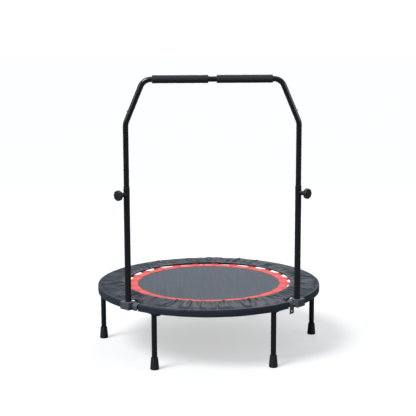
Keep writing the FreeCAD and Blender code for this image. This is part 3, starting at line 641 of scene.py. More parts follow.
def red_webbing(settings):
    """Ribbed red webbing: ribs across the width, painted shade at the folded corners, on the tabs and on the
    joining strap, stitch rows near both edges with painted shade in their grooves.
    """
    material, w, shader = new_material("Red webbing")
    red = settings.red
    place = coordinates(w, "UV")
    split = w.add("SeparateXYZ", {"Vector": place})
    ribs = w.math("ABSOLUTE", w.math("SINE", w.math("MULTIPLY", split.outputs[1], 1400.0)))
    chain = w.math("ABSOLUTE", w.math("SINE", w.math("MULTIPLY", split.outputs[0], 2100.0)))
    grain = group_node(w, "Grain", Vector=coordinates(w, "Object"), Scale=420.0)
    thread, groove = stitch_rows(w, place, (0.0040, 0.0325), 0.0038, 0.0010)
    base = w.mix(grain.outputs["Cloud"], rgba(red, 0.92), rgba(red, 1.08))
    # Painted shade in the stitch grooves: the groove mask darkens the red.
    base = w.mix(w.math("MULTIPLY", groove, 0.30), base, rgba(red, 0.55))
    # Painted shade: the stored shade turns the red towards a dark red at the folded corners, on the tabs and on
    # the joining strap.
    base = w.mix(painted_shade_share(w), base, rgba((red[0] * 0.72, red[1] * 0.2, red[2] * 0.25)))
    w.fill(shader, {"Base Color": w.mix(w.math("MULTIPLY", thread, 0.5), base, (0.55, 0.02, 0.015, 1)),
                    "Roughness": 0.62, "Sheen Weight": 0.25, "Sheen Roughness": 0.4})
    relief = w.math("ADD", w.math("MULTIPLY", ribs, w.math("ADD", w.math("MULTIPLY", chain, 0.4), 0.6)),
                    w.math("SUBTRACT", w.math("MULTIPLY", thread, 1.5), w.math("MULTIPLY", groove, 1.5)))
    bump(w, shader, relief, 0.00022, 0.7)
    return material


MATERIALS = {}


def material(kind):
    """The finish of a record slot, made the first time it is asked for."""
    metal = bpy.context.scene.trampoline_metal
    makers = {
        "powder_coat": lambda: powder_coat(metal),
        "satin_coat": satin_coat,
        "zinc_steel": lambda: plated_steel("Zinc steel", metal.zinc, 0.24),
        "spring_steel": lambda: plated_steel("Spring steel", metal.zinc, 0.20),
        "button_steel": lambda: plated_steel("Button steel", (0.68, 0.67, 0.65), 0.16),
        "foot_rubber": lambda: dull_plastic("Foot rubber", (0.013, 0.0135, 0.0145), 0.52, 0.00010, 520.0),
        "black_plastic": lambda: dull_plastic("Black plastic", (0.016, 0.017, 0.019), 0.38, 0.00005, 900.0),
        "pad_foam": lambda: dull_plastic("Pad foam", (0.55, 0.56, 0.58), 0.85, 0.00040, 300.0),
        "elastic": lambda: dull_plastic("Elastic", (0.03, 0.03, 0.035), 0.70, 0.00020, 1500.0),
        "grip_foam": grip_foam,
        "cover_fabric": lambda: cover_cloth(bpy.context.scene.trampoline_cover),
        "mat_fabric": lambda: mat_cloth(bpy.context.scene.trampoline_mat),
        "red_webbing": lambda: red_webbing(bpy.context.scene.trampoline_mat),
    }
    if kind not in MATERIALS:
        MATERIALS[kind] = makers[kind]()
    return MATERIALS[kind]


# ------------------------------------------------------------------ the cover
SEAMS = [math.radians(a) for a in (270.0, 47.5, 126.5)]
BESIDE_BLOCK, BESIDE_STRAP = 446.6 * MM, 452.0 * MM
TOP_COLUMNS, SKIRT_COLUMNS = 990, 1080
BAND_ROWS = 30
SEAM_WIDTH = 1.8 * MM
SKIRT_ROWS = 12
HEM_FACES = 12          # rows of faces at the hem that no notch cuts
NEAR_HEM = -17          # a notch's inner edge lies on a row before this one


def notch_spans():
    """Each clamp's cut in the cloth: angles of its first edge, its step and its last edge, and the radius
    of its inner edge before and after the step. It is deeper beside the block than beside the strap."""
    away, step, near = (length * MM / RING_RADIUS for length in (28.0, 28.0, 56.2))
    left, right = FRONT - CLAMP_ANGLE, FRONT + CLAMP_ANGLE
    return [((left - away, left + step, left + near), (BESIDE_BLOCK, BESIDE_STRAP)),
            ((right - near, right - step, right + away), (BESIDE_STRAP, BESIDE_BLOCK))]


NOTCHES = notch_spans()


def cover_angles(per_turn):
    """Angles once round the ring with a column at each edge and step of the notches."""
    edges = [angle for angles, depths in NOTCHES for angle in angles]
    edges.append(edges[0] + TAU)
    spans = []
    for start, end in zip(edges, edges[1:]):
        spans.append(np.linspace(start, end, max(8, round((end - start) / TAU * per_turn)), endpoint=False))
    return np.concatenate(spans)


def inside_notch(angle):
    """True for the columns whose face to the next column lies in a notch."""
    hit = np.zeros(len(angle), bool)
    for (start, step, end), depths in NOTCHES:
        hit |= (angle >= start - TINY) & (angle < end - TINY)
    return hit


def notch_depth(angle):
    """Radius of the notch's inner edge for each column; outside the notches, the cloth's own edge."""
    depth = np.full(len(angle), COVER_OUTER)
    for angles, depths in NOTCHES:
        for start, end, radius in zip(angles, angles[1:], depths):
            depth[(angle >= start - TINY) & (angle < end - TINY)] = radius
    return depth


def dents(angle, places, width):
    """1 at each of some places on the ring, falling off on both sides over a width."""
    gaps = [angle_gap(angle, place) * RING_RADIUS for place in places]
    return np.max([np.exp(-(gap / width) ** 2) for gap in gaps], axis=0)


def sharp_folds(angle, count, seed):
    """Round ridges with sharp valleys, unevenly spaced: the size of a random wave round the ring."""
    return np.abs(ring_noise(angle, count, seed)) ** 0.75


def pleat_wave(angle, share, settings):
    """Rise of the gathers as a share of the pleat height.

    angle and share are arrays; share is 0 at the inner hem and 1 at the crease. The gathers are
    |sin| of a phase that runs unevenly round the ring, so ridges are round and valleys sharp. Each
    gather has its own height and its own reach towards the crease, leans a little, and is held down
    where the hem grips it. Fine folds live near the hem. Long folds run over the whole band and
    change into others half-way.
    """
    count = settings.pleats
    turned = angle + 0.045 * ring_noise(angle, 41, 11) * share
    phase = count * turned / 2 + 1.5 * ring_noise(turned, 29, 3) + 0.5 * ring_noise(turned, 67, 5)
    index = np.floor(phase / math.pi).astype(int) % (count + 8)
    rng = np.random.default_rng(7)
    height = rng.uniform(0.55, 1.2, count + 8)[index]
    reach = rng.uniform(0.7, 2.2, count + 8)[index]
    gripped = 0.15 + 0.85 * smooth_step(share, 0.0, 0.30)
    fading = (1 - share) ** reach * gripped * (1 - smooth_step(share, 0.72, 1.0))
    main = np.abs(np.sin(phase)) * height * fading
    fine = 0.20 * np.abs(np.sin(1.05 * count * angle + 2.0 * ring_noise(angle, 83, 9)))
    fine = fine * np.clip(1 - share * 2.4, 0, 1) ** 1.5 * gripped
    change = smooth_step(share, 0.2, 0.75)
    outer_folds = sharp_folds(turned + 0.02 * share, 128, 23)
    folds = sharp_folds(turned, 150, 21) * (1 - change) + outer_folds * change
    folds = 0.85 * folds * smooth_step(share, 0.0, 0.2) * (1 - smooth_step(share, 0.80, 1.0))
    return main, fine, folds


def cover_surface(angle, settings):
    """Points of the top panel: rows from the seam under the crease to the hem's turned-in end.

    Radius and height follow a polyline: up the seam allowance, round the crease, over the band to
    the hem, half round the elastic, and back under it. The gathers lift the band, most at the hem.
    """
    crease_round = 2.2 * MM
    corner = np.linspace(0, math.pi / 2, 6)
    outer = stacked(COVER_OUTER - crease_round + crease_round * np.cos(corner),
                    CREASE_Z - crease_round + crease_round * np.sin(corner))
    band_share = np.linspace(1, 0, BAND_ROWS + 1)[1:] ** 0.92
    start = COVER_OUTER - crease_round
    for edge in (BESIDE_BLOCK, BESIDE_STRAP):
        exact = (edge - COVER_INNER) / (start - COVER_INNER)
        band_share[nearest(band_share, exact)] = exact
    band = stacked(COVER_INNER + band_share * (start - COVER_INNER),
                   COVER_INNER_Z + band_share * (CREASE_Z - COVER_INNER_Z))
    curl = np.linspace(0, 1.05 * math.pi, 9)[1:]
    curl_r = 2.55 * MM
    hem = stacked(COVER_INNER - curl_r * np.sin(curl) * 0.75, COVER_INNER_Z - curl_r + curl_r * np.cos(curl))
    under = hem[-1] + np.array([[3.0, 0.1], [6.0, 0.3], [9.0, 0.5]]) * MM
    seam = np.array([[COVER_OUTER, SKIRT_TOP], [COVER_OUTER, SKIRT_TOP + 0.9 * MM]])
    profile = np.concatenate([seam, outer, band, hem, under])
    share = np.concatenate([np.ones(len(seam) + len(outer)), band_share, np.zeros(len(hem) + len(under))])

    theta, s = np.meshgrid(angle, share, indexing="xy")
    main, fine, folds = pleat_wave(theta, s, settings)
    dent = dents(theta, SEAMS, SEAM_WIDTH)
    lift = settings.pleat_height * (main + fine + folds) - 0.6 * MM * (1 - s) - 0.9 * MM * dent
    lift *= np.where(s >= 1.0, 0.0, 1.0)
    lift = np.maximum(lift, -0.9 * MM)
    hem_rows = len(seam) + len(outer) + len(band_share)
    hem_index = np.arange(len(profile))[:, None]
    tunnel = np.clip((hem_index - hem_rows) / (len(hem) + len(under)), 0, 1)
    lift = lift * (1 - 0.30 * tunnel)
    pull = (1.6 * MM * (main - 0.35) + 0.9 * MM * ring_noise(theta, 37, 31)) * (1 - s) ** 3
    crease_wave = 0.45 * MM * ring_noise(theta, 96, 41) * np.exp(-((1 - s) * 12) ** 2)
    radius = profile[:, :1] - pull + crease_wave
    sag = -0.7 * MM * np.sin(math.pi * s) * (s < 1.0)
    points = polar(theta, radius, profile[:, 1:] + lift + sag)
    uv = stacked(lengths(profile)[:, None], theta * RING_RADIUS)
    # Painted shade for the cloth's finish: darker the lower a point lies in the gathers' valleys, fading out
    # towards the crease; in the hem's curl and under it, darker the further the cloth turns under.
    valley_shade = np.exp(-np.clip(lift, 0, None) / (1.9 * MM)) * (1 - smooth_step(s, 0.80, 0.97))
    shade = np.where(hem_index < hem_rows, 0.88 * valley_shade, np.clip(0.3 + 1.4 * tunnel, 0, 1))
    return points, uv, profile, shade


def cover_faces(points, uv, angle, profile):
    """The top panel's part without the faces that lie in a clamp's notch."""
    rows = len(profile) - 1
    column, row = np.repeat(np.arange(len(angle)), rows), np.tile(np.arange(rows), len(angle))
    outside = (profile[row + 1, 0] > notch_depth(angle)[column] - TINY) & (row <= rows - HEM_FACES)
    return with_faces(ring_part(points, uv), ~(inside_notch(angle)[column] & outside))


def skirt_surface(angle):
    """Points of the skirt: rows from the seam down to the turned-up hem.

    The band hangs from the crease. Puckers are uneven waves that grow towards the hem. Over each
    leg the hem dips and the band leans out, like cloth draped on the leg's top. The back hangs slack.
    """
    share = np.concatenate([np.linspace(0, 1, SKIRT_ROWS), [1.0, 1.0, 0.94, 0.84, 0.74]])
    inset = np.concatenate([np.zeros(SKIRT_ROWS), [0.5, 1.2, 1.3, 1.3, 1.3]]) * MM
    theta, t = np.meshgrid(angle, share, indexing="xy")
    wave = 0.55 * ring_noise(theta, 58, 51) + 0.45 * ring_noise(theta, 131, 53)
    fine = ring_noise(theta + 0.004 * t, 240, 57)
    swell = 0.55 * MM * np.sin(math.pi * t) + 0.75 * MM * wave * t + 0.22 * MM * fine * (1 - np.abs(2 * t - 1))
    dip = dents(theta, LEG_ANGLES, 13.0 * MM)
    radius = COVER_OUTER + swell - inset[:, None] + 0.5 * MM * dip * t - 0.5 * MM * dents(theta, SEAMS, SEAM_WIDTH)
    slack = 4.5 * MM * smooth_step(np.sin(theta), 0.45, 0.85)
    length = (SKIRT_TOP - SKIRT_BOTTOM) * (1 + 0.02 * ring_noise(theta, 75, 61)) + 5.0 * MM * dip + slack
    height = SKIRT_TOP + 0.4 * MM - length * t
    line = np.linspace(0, SKIRT_TOP - SKIRT_BOTTOM + 6 * MM, len(share))
    return polar(theta, radius, height), stacked(line[:, None] + 0.05, theta * RING_RADIUS)


def notch_inner_edge(notch, angle, points, profile):
    """Points along a notch's inner edge: across beside the block, over the step, across beside the strap."""
    first, step, last = (nearest(angle, place) for place in notch[0])
    before, after = (nearest(profile[:NEAR_HEM, 0], depth) for depth in notch[1])
    jog = slice(before, after) if after > before else slice(before, after, -1)
    return np.concatenate([points[before, first:step], points[jog, step], points[after, step:last + 1]])


def notch_outline(notch, angle, points, profile, skirt_angle, skirt_points):
    """Line along one notch's whole cut edge: up the skirt, in over the crease, across, back out and down."""
    (start, step, end), depths = notch
    before, after = (nearest(profile[:NEAR_HEM, 0], depth) for depth in depths)
    return np.concatenate([skirt_points[SKIRT_ROWS - 1:0:-1, nearest(skirt_angle, start)],
                           points[:before, nearest(angle, start)],
                           notch_inner_edge(notch, angle, points, profile),
                           points[after - 1::-1, nearest(angle, end)],
                           skirt_points[1:SKIRT_ROWS, nearest(skirt_angle, end)]])


def facing_part(notch, angle, points, profile):
    """A notch's turned-down facing: from the inner edge beside the strap straight down behind it."""
    angles, depths = notch
    strap_end = angles[2] if depths[1] > depths[0] else angles[0]
    edge = notch_inner_edge(notch, angle, points, profile)
    reach = np.abs(angle_gap(np.arctan2(edge[:, 1], edge[:, 0]), strap_end)) * RING_RADIUS
    edge = edge[reach < 53.0 * MM]
    drop = np.linspace(0.2, 13.0, 7) * MM
    hung = edge[:, None] - drop[None, :, None] * np.array([0.0, 0.0, 1.0])
    return grid_part(hung, stacked(lengths(edge)[:, None], drop))


# ------------------------------------------------------------------- the mat
SPRING_STEP = TAU / SPRING_COUNT
MAT_MARGIN = 7 * MM         # the mat's edge lies this far inside the border's
STITCH_ROWS = (4.0 * MM, 32.5 * MM)
BAR_WRAP = 2.6 * MM         # radius of a tab's turn round its link's bar


def polygon_radius(angle, corner_radius):
    """Distance to the side of a regular polygon whose corners stand at the springs."""
    half = SPRING_STEP / 2
    gap = (np.asarray(angle) + half) % SPRING_STEP - half
    return corner_radius * math.cos(half) / np.cos(gap)


def corner_offset(angle, radius):
    """Sideways distance from the nearest spring's line."""
    half = SPRING_STEP / 2
    gap = (np.asarray(angle) - CORNER_ANGLE + half) % SPRING_STEP - half
    return radius * np.sin(gap)


def mat_surface():
    """Points of the mat's top: rings of the polygon from the middle outward, barely sagging, with
    faint pulls that run in from the corners where the springs draw on it."""
    angle = CORNER_ANGLE + np.arange(240) * TAU / 240
    share = np.linspace(0, 1, 46) ** 0.85
    theta, s = np.meshgrid(angle, share, indexing="xy")
    radius = polygon_radius(theta, MAT_RADIUS - MAT_MARGIN) * s
    edge = smooth_step(s, 0.62, 0.93)
    pulls = 0.22 * MM * np.cos(SPRING_COUNT * (theta - CORNER_ANGLE)) * edge
    cloud = 0.30 * MM * ring_noise(theta, 17, 71) * np.sin(math.pi * s)
    height = MAT_TOP - 1.0 * MM * (1 - s ** 2) + pulls + cloud * (s > 0) - 0.25 * MM * edge
    points = polar(theta, radius, height)
    uv = points[:, :, :2]
    uv = np.concatenate([uv, uv[:, :1]], 1)
    return grid_part(points, uv, closed_v=True)


def border_surface(width):
    """Points of the red border: a band across which the height dips at two rows of stitches, then
    turns down over the mat's edge and back under it. At each corner the band is folded over
    itself, which lifts a wedge of it by one thickness."""
    columns = SPRING_COUNT * 32
    angle = CORNER_ANGLE + (np.arange(columns) + 0.5) * TAU / columns
    across = np.concatenate([[0.0, 0.0, 0.4, 1.4, 2.6], np.linspace(3.4, 4.6, 4), np.linspace(6, 31, 14),
                             np.linspace(32, 33.4, 4), [34.4, 35.6, 36.5]]) * MM
    top = np.concatenate([[0.05, 0.55], np.full(len(across) - 2, 0.95)]) * MM
    for row in STITCH_ROWS:
        top = top - 0.32 * MM * np.exp(-((across - row) / (1.1 * MM)) ** 2)
    middle = (across > 6 * MM) & (across < 31 * MM)
    top[middle] += 0.28 * MM * np.sin(math.pi * (across[middle] - 6 * MM) / (25 * MM))
    wrap = np.array([[width + 0.3 * MM, 0.4 * MM], [width + 0.45 * MM, -0.8 * MM], [width - 0.1 * MM, -2.2 * MM],
                     [width - 3 * MM, -2.45 * MM], [width - 7 * MM, -2.4 * MM]])
    line = np.concatenate([across, wrap[:, 0]])
    height = np.concatenate([top, wrap[:, 1]])
    theta, reach = np.meshgrid(angle, line, indexing="xy")
    radius = polygon_radius(theta, MAT_RADIUS - width + reach)
    side = np.abs(corner_offset(theta, radius))
    wedge = 3.0 * MM + 0.36 * np.clip(reach, 0, width)
    # The folded corner's wedge: it lifts the band here, and the same mask is returned as the painted shade of the
    # folded corner.
    fold_and_shade = smooth_step(wedge - side, -0.5 * MM, 0.6 * MM)
    upper = (np.arange(len(line)) < len(across))[:, None]
    ripple = 0.30 * MM * ring_noise(theta, 173, 81) * np.sin(math.pi * np.clip(reach / width, 0, 1))
    z = MAT_TOP + height[:, None] + np.where(upper, 0.45 * MM * fold_and_shade + ripple, 0)
    along = np.append(angle, angle[0] + TAU) * MAT_RADIUS
    uv = stacked(along, lengths(stacked(line, height))[:, None])
    return grid_part(polar(theta, radius, z), uv, closed_v=True), (fold_and_shade * upper).reshape(-1)


def patch_part(angle, inner, outer, width, height):
    """Narrow strap laid over the border at one place: a short grid with rounded edges."""
    reach = np.linspace(inner, outer, 26)
    across = np.linspace(-1, 1, 9)
    r, c = np.meshgrid(reach, across, indexing="ij")
    lift = height + 0.25 * MM * (1 - c ** 4)
    lift = lift - (lift + 1.2 * MM) * smooth_step(r, outer - 1.5 * MM, outer)
    side = c * width / 2
    return grid_part(polar(angle + side / r, r, MAT_TOP + lift), stacked(side + 0.3, r - inner + 0.008))


def tab_part(settings):
    """One webbing loop along +X: out over the link's bar, round it, and back under the mat.

    The line runs in the radial plane: two nearly level runs joined by most of a circle about the
    bar. Across it the width narrows from the root to the tip and the edges droop a little.
    """
    bar = MAT_RADIUS + settings.tab_length - BAR_WRAP
    turn = np.radians(np.linspace(96, -96, 11))
    top = np.array([[-23.5, 2.25], [-18.0, 2.35], [-14.5, 2.42], [-10.0, 2.42], [-5.0, 2.48], [-2.4, 2.56]]) * MM
    arc = BAR_WRAP * stacked(np.cos(turn), np.sin(turn))
    low = np.array([[-2.4, -2.56], [-6.0, -2.35], [-11.0, -1.95], [-16.0, -1.75], [-21.0, -1.75]]) * MM
    line = np.concatenate([top, arc, low])
    share = np.clip((line[:, 0] + settings.tab_length) / settings.tab_length, 0, 1)
    half = (settings.tab_root + (settings.tab_tip - settings.tab_root) * share) / 2
    across = np.sin(np.linspace(-1, 1, 15) * math.pi / 2)
    wide = half[:, None] * across[None, :]
    droop = np.sign(line[:, 1:]) * 0.35 * MM * np.abs(across[None, :]) ** 4
    crown = 0.18 * MM * np.cos(2 * math.pi * across[None, :]) * (line[:, 1:] > 0)
    points = stacked(bar + line[:, :1], wide, MAT_MIDDLE + line[:, 1:] - droop + crown)
    return grid_part(points, stacked(wide + 0.02, lengths(line)[:, None] + 0.008))


def rounded_loop(corners, radii, arc_points=8, side_points=10):
    """Closed path through rounded corners: straight sides joined by arcs that touch both."""
    corners = np.asarray(corners, float)
    arcs = []
    for corner, before, after, radius in zip(corners, np.roll(corners, 1, 0), np.roll(corners, -1, 0), radii):
        before = before - corner
        after = after - corner
        before /= np.linalg.norm(before)
        after /= np.linalg.norm(after)
        half = math.acos(np.clip(before @ after, -1, 1)) / 2
        middle = (before + after) / np.linalg.norm(before + after)
        centre = corner + middle * radius / math.sin(half)
        first = corner + before * radius / math.tan(half) - centre
        last = corner + after * radius / math.tan(half) - centre
        sweep = math.pi - 2 * half
        share = np.linspace(0, 1, arc_points)[:, None]
        arc = (np.sin((1 - share) * sweep) * first + np.sin(share * sweep) * last) / math.sin(sweep)
        arcs.append(centre + arc)
    path = []
    share = np.linspace(0, 1, side_points + 2)[1:-1, None]
    for arc, following in zip(arcs, arcs[1:] + arcs[:1]):
        path += [arc, arc[-1] + share * (following[0] - arc[-1])]
    return np.concatenate(path)


def link_part(settings):
    """One closed wire triangle along +X: its bar in the tab, its rounded point towards the ring."""
    bar = MAT_RADIUS + settings.tab_length - BAR_WRAP
    corners = [(bar, -17 * MM, MAT_MIDDLE), (LINK_APEX + 2.0 * MM, 0, MAT_MIDDLE), (bar, 17 * MM, MAT_MIDDLE)]
    path = rounded_loop(corners, (3.0 * MM, 3.4 * MM, 3.0 * MM))
    return tube_part(path, LINK_WIRE / 2 * 0.94, (0, 0, 1), sides=10, closed=True)


def spring_part(settings):
    """One spring along +X, as a wire on one path.

    The path is a near-full hook round the link's point, a short lead to the spring's axis, a helix
    whose radius grows from nothing, holds for twenty turns and shrinks again, and a straight end
    into the ring's hole. The wire's section is carried with the helix's outward direction.
    """
    wire = settings.wire
    coil = settings.coil / 2 - wire / 2
    hook = 3.1 * MM
    centre = np.array([LINK_APEX - LINK_WIRE / 2 - wire / 2 + hook, 0, MAT_MIDDLE])
    finish = np.array([HOOK_WALL + 2.0 * MM, 0, HOOK_Z])
    axis = (finish - centre) / np.linalg.norm(finish - centre)
    side = np.array([0.0, 1, 0])
    up = np.cross(axis, side)
    up *= np.sign(up[2])
    span = np.linalg.norm(finish - centre)

    turn = np.radians(np.linspace(400, 90, 26))[:, None]
    loop = centre + hook * (np.cos(turn) * axis + np.sin(turn) * up)
    lead_share = np.linspace(0, 1, 8)[1:, None]
    lead = centre + axis * lead_share * 4.6 * MM + up * hook * (1 + np.cos(math.pi * lead_share)) / 2
    turns, start, end = 20.0, 5.2 * MM, span - 11.5 * MM
    place = np.linspace(0, 1, 301)[:, None]
    spin = place * (turns + 1.5) * TAU
    grow = smooth_step(place * (turns + 1.5), 0.0, 0.75) * smooth_step((1 - place) * (turns + 1.5), 0.0, 0.75)
    outward = np.cos(spin) * side + np.sin(spin) * up
    helix = centre + axis * (start + place * (end - start)) + outward * coil * grow
    tail_share = np.linspace(0, 1, 7)[1:, None]
    tail = centre + axis * (end + tail_share * (span - end))
    path = np.concatenate([loop, lead, helix, tail])
    reference = np.concatenate([np.tile(side, (len(loop) + len(lead), 1)), outward,
                                np.tile(outward[-1], (len(tail), 1))])
    return tube_part(path, wire / 2, reference, sides=7)


def grip_part(low, high):
    """Foam sleeve along X: a round tube whose ends are rounded and whose skin is a little uneven."""
    middle = (low + high) / 2
    outer = (high.z - low.z) / 2
    inner = outer - 4.9 * MM
    corner = np.linspace(0, math.pi / 2, 7)
    bend = 2.4 * MM
    first = stacked(outer - bend + bend * np.sin(corner), low.x + bend - bend * np.cos(corner))
    body = stacked(outer, np.linspace(low.x + bend, high.x - bend, 72)[1:-1])
    last = stacked(outer - bend + bend * np.cos(corner), high.x - bend + bend * np.sin(corner))
    profile = np.concatenate([[[inner, low.x + 0.4 * MM]], first, body, last, [[inner, high.x - 0.4 * MM]]])
    sides = 72
    angle = np.arange(sides) * TAU / sides
    radius, turn = np.meshgrid(profile[:, 0], angle, indexing="ij")
    along = profile[:, 1:] - low.x
    swell = 0.10 * MM * ring_noise(turn, 9, 91) * np.sin(along * 61) + 0.12 * MM * np.sin(along * 118 + 1.3)
    radius = radius + swell * (radius > outer - bend / 2) - 0.12 * MM
    points = stacked(profile[:, 1:], middle.y + radius * np.cos(turn), middle.z + radius * np.sin(turn))
    uv = stacked(profile[:, 1:], np.arange(sides + 1) * TAU / sides * outer)
    return grid_part(points, uv, closed_v=True)


# ------------------------------------------------------------------ operators
class TRAMPOLINE_OT_finishes(bpy.types.Operator):
    """Finishes of the CAD pieces by their record slots, and a slight round on machined edges"""
    bl_idname = "trampoline.finishes"
    bl_label = "CAD Finishes"
    bl_options = {"REGISTER", "UNDO"}

    def execute(self, context):
        slots = {row["node"]: row["material_slot"] for row in frame["record"]["subparts"]}
        for name, piece in frame["nodes"].items():
            piece.data.materials.clear()
            clamped = "clamp_" in name and slots[name] == "powder_coat"
            piece.data.materials.append(material("satin_coat" if clamped else slots[name]))
            if any(word in name for word in ("clamp_block", "clamp_jaw", "clamp_strap", "knob_head")):
                edge = piece.modifiers.new("Edge", "BEVEL")
                edge.width = 0.5 * MM
                edge.segments = 2
                edge.limit_method = "ANGLE"
                edge.angle_limit = math.radians(40)
        return {"FINISHED"}


class TRAMPOLINE_OT_mat(bpy.types.Operator):
    """Woven mat, its red border with folded corners, and the border's joining strap"""
    bl_idname = "trampoline.mat"
    bl_label = "Mat and Border"
    bl_options = {"REGISTER", "UNDO"}

    def execute(self, context):
        settings = context.scene.trampoline_mat
        mat = build("bounce_mat", mat_surface(), "mat_fabric", "mat", weld=True)
        solidify(mat, MAT_THICKNESS * 0.8)
        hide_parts("mat")
        part, fold_and_shade = border_surface(settings.border_width)
        patch = patch_part(math.radians(90.8), MAT_RADIUS - settings.border_width - 1 * MM, MAT_RADIUS + 2 * MM,
                           15 * MM, 1.25 * MM)
        border = build("border_webbing", joined([part, patch]), "red_webbing", "mat")
        # Painted shade on the border's folded corners, and on the joining strap a uniform 0.75 of the same
        # darkening all over.
        set_painted_shade(border, np.concatenate([fold_and_shade, np.full(len(patch[0]), 0.75)]))
        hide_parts("mat_border")
        return {"FINISHED"}


class TRAMPOLINE_OT_tabs(bpy.types.Operator):
    """Webbing loops and the wire triangles they hold"""
    bl_idname = "trampoline.tabs"
    bl_label = "Tabs and Links"
    bl_options = {"REGISTER", "UNDO"}

    def execute(self, context):
        settings = context.scene.trampoline_mat
        part = spun(tab_part(settings), SPRING_ANGLES)
        tabs = build("tab_webbing", part, "red_webbing", "mat")
        solidify(tabs, 0.8 * MM)
        # Painted shade: every tab is darkened 0.55 of the way to the dark red, standing in for the cover's shadow
        # over them.
        set_painted_shade(tabs, np.full(len(part[0]), 0.55))
        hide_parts("mat_tabs")
        links = build("link_wires", spun(link_part(settings), SPRING_ANGLES), "spring_steel", "mat")
        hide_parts("mat_links")
        return {"FINISHED"}


class TRAMPOLINE_OT_springs(bpy.types.Operator):
    """Tension springs from the ring's holes to the links"""
    bl_idname = "trampoline.springs"
    bl_label = "Springs"
    bl_options = {"REGISTER", "UNDO"}

    def execute(self, context):
        part = spring_part(context.scene.trampoline_metal)
        for index, angle in enumerate(SPRING_ANGLES):
            piece = build(f"spring_{index:02d}", spun(part, np.array([angle])), "spring_steel")
            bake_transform(piece)
            if index == 0:
                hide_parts("springs")
        return {"FINISHED"}


class TRAMPOLINE_OT_cover(bpy.types.Operator):
    """Gathered top panel of the spring cover, its skirt, bound notches, foam strip and elastic"""
    bl_idname = "trampoline.cover"
    bl_label = "Spring Cover"
    bl_options = {"REGISTER", "UNDO"}

    def execute(self, context):
        settings = context.scene.trampoline_cover
        angle = cover_angles(TOP_COLUMNS)
        points, uv, profile, shade = cover_surface(angle, settings)
        top = build("cover_top_panel", cover_faces(points, uv, angle, profile), "cover_fabric", "frame")
        # Painted shade of the gathers and the hem's curl, stored on the top panel for its finish.
        set_painted_shade(top, shade.T)
        solidify(top, settings.thickness)
        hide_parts("cover_top")

        skirt_angle = cover_angles(SKIRT_COLUMNS)
        skirt_points, skirt_uv = skirt_surface(skirt_angle)
        outside = ~np.repeat(inside_notch(skirt_angle), len(skirt_points) - 1)
        part = with_faces(ring_part(skirt_points[::-1], skirt_uv[::-1]), outside)
        skirt = build("cover_skirt_band", part, "cover_fabric", "frame")
        solidify(skirt, settings.thickness)
        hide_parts("cover_skirt")

        bindings = [tube_part(notch_outline(notch, angle, points, profile, skirt_angle, skirt_points), 1.0 * MM,
                              (0, 0.02, 1), sides=8) for notch in NOTCHES]
        binding = build("cover_binding", joined(bindings), "elastic", "frame")

        facings = [facing_part(notch, angle, points, profile) for notch in NOTCHES]
        facing = build("cover_facings", joined(facings), "elastic", "frame")
        solidify(facing, 0.5 * MM)

        angles = np.arange(240) * TAU / 240
        line = polar(angles, COVER_INNER + 0.6 * MM, COVER_INNER_Z - 2.4 * MM)
        hem_tube = tube_part(line, 1.3 * MM, (0, 0, 1), sides=8, closed=True)
        elastic = build("hem_elastic", hem_tube, "elastic", "frame")
        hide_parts("cover_elastic")

        low, high = 369.0 * MM, 441.0 * MM
        slope = (COVER_INNER_Z - CREASE_Z) / (COVER_OUTER - COVER_INNER)
        low_top, high_top = (CREASE_Z + (COVER_OUTER - radius) * slope - 2.5 * MM for radius in (low, high))
        deep = 1.1 * MM
        ring = revolved_part([(low, low_top - deep), (high, high_top - deep), (high, high_top), (low, low_top),
                              (low, low_top - deep)], sides=240)
        foam = build("foam_strip", ring, "pad_foam", "frame", weld=True)
        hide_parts("pad_foam")

        return {"FINISHED"}


class TRAMPOLINE_OT_grips(bpy.types.Operator):
    """Foam sleeves on the handlebar"""
    bl_idname = "trampoline.grips"
    bl_label = "Grips"
    bl_options = {"REGISTER", "UNDO"}

    def execute(self, context):
        for side in ("left", "right"):
            low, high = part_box(side + "_grip")
            grip = build(side + "_foam_grip", grip_part(low, high), "grip_foam", "handle")
            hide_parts(side + "_grip")
        return {"FINISHED"}


FLOOR_HALF = 40
SUN_SPREAD = math.radians(26)
SUN_COLOUR = (0.96, 0.98, 1.0)
SUN_DIRECTION = (0.66, 0.50, -1.05)
SIDE_TINT, BACK_TINT = (0.90, 0.95, 1.0), (0.95, 0.98, 1.0)
LAMPS = (("left", (-3.0, -1.6, 2.2), (0, 0, 0.5), 1.2, 15, SIDE_TINT),
         ("right", (3.0, -1.6, 1.9), (0, 0, 0.5), 1.2, 24, SIDE_TINT),
         ("back", (0.3, 3.0, 2.4), (0, 0, 0.3), 1.8, 34, BACK_TINT))
SENSOR_WIDTH = 36
CAMERA_SHIFT = -0.0012
CAMERA_ROLL = math.radians(-0.17)


def floor_paint():
    """White floor: the camera sees it glow to white outside a soft shadow, and it lights the object dimly."""
    paint = bpy.data.materials.new("Floor")
    w = fresh_wires(paint)
    seen_by_camera = w.add("LightPath").outputs["Is Camera Ray"]
    noise = w.add("TexNoise", {"Vector": coordinates(w, "Object"), "Scale": 1.5})
    seen = w.mix(noise.outputs["Fac"], (0.41, 0.41, 0.415, 1), (0.43, 0.43, 0.435, 1))
    diffuse = w.add("BsdfDiffuse", {"Color": w.mix(seen_by_camera, (0.12, 0.125, 0.13, 1), seen)})
    glow = w.add("Emission", {"Color": (1, 1, 1, 1), "Strength": w.remap(seen_by_camera, 0, 1, 0, 0.53)})
    total = w.add("AddShader")
    w.put(total.inputs[0], diffuse.outputs[0])
    w.put(total.inputs[1], glow.outputs[0])
    w.add("OutputMaterial", {"Surface": total.outputs[0]})
    return paint


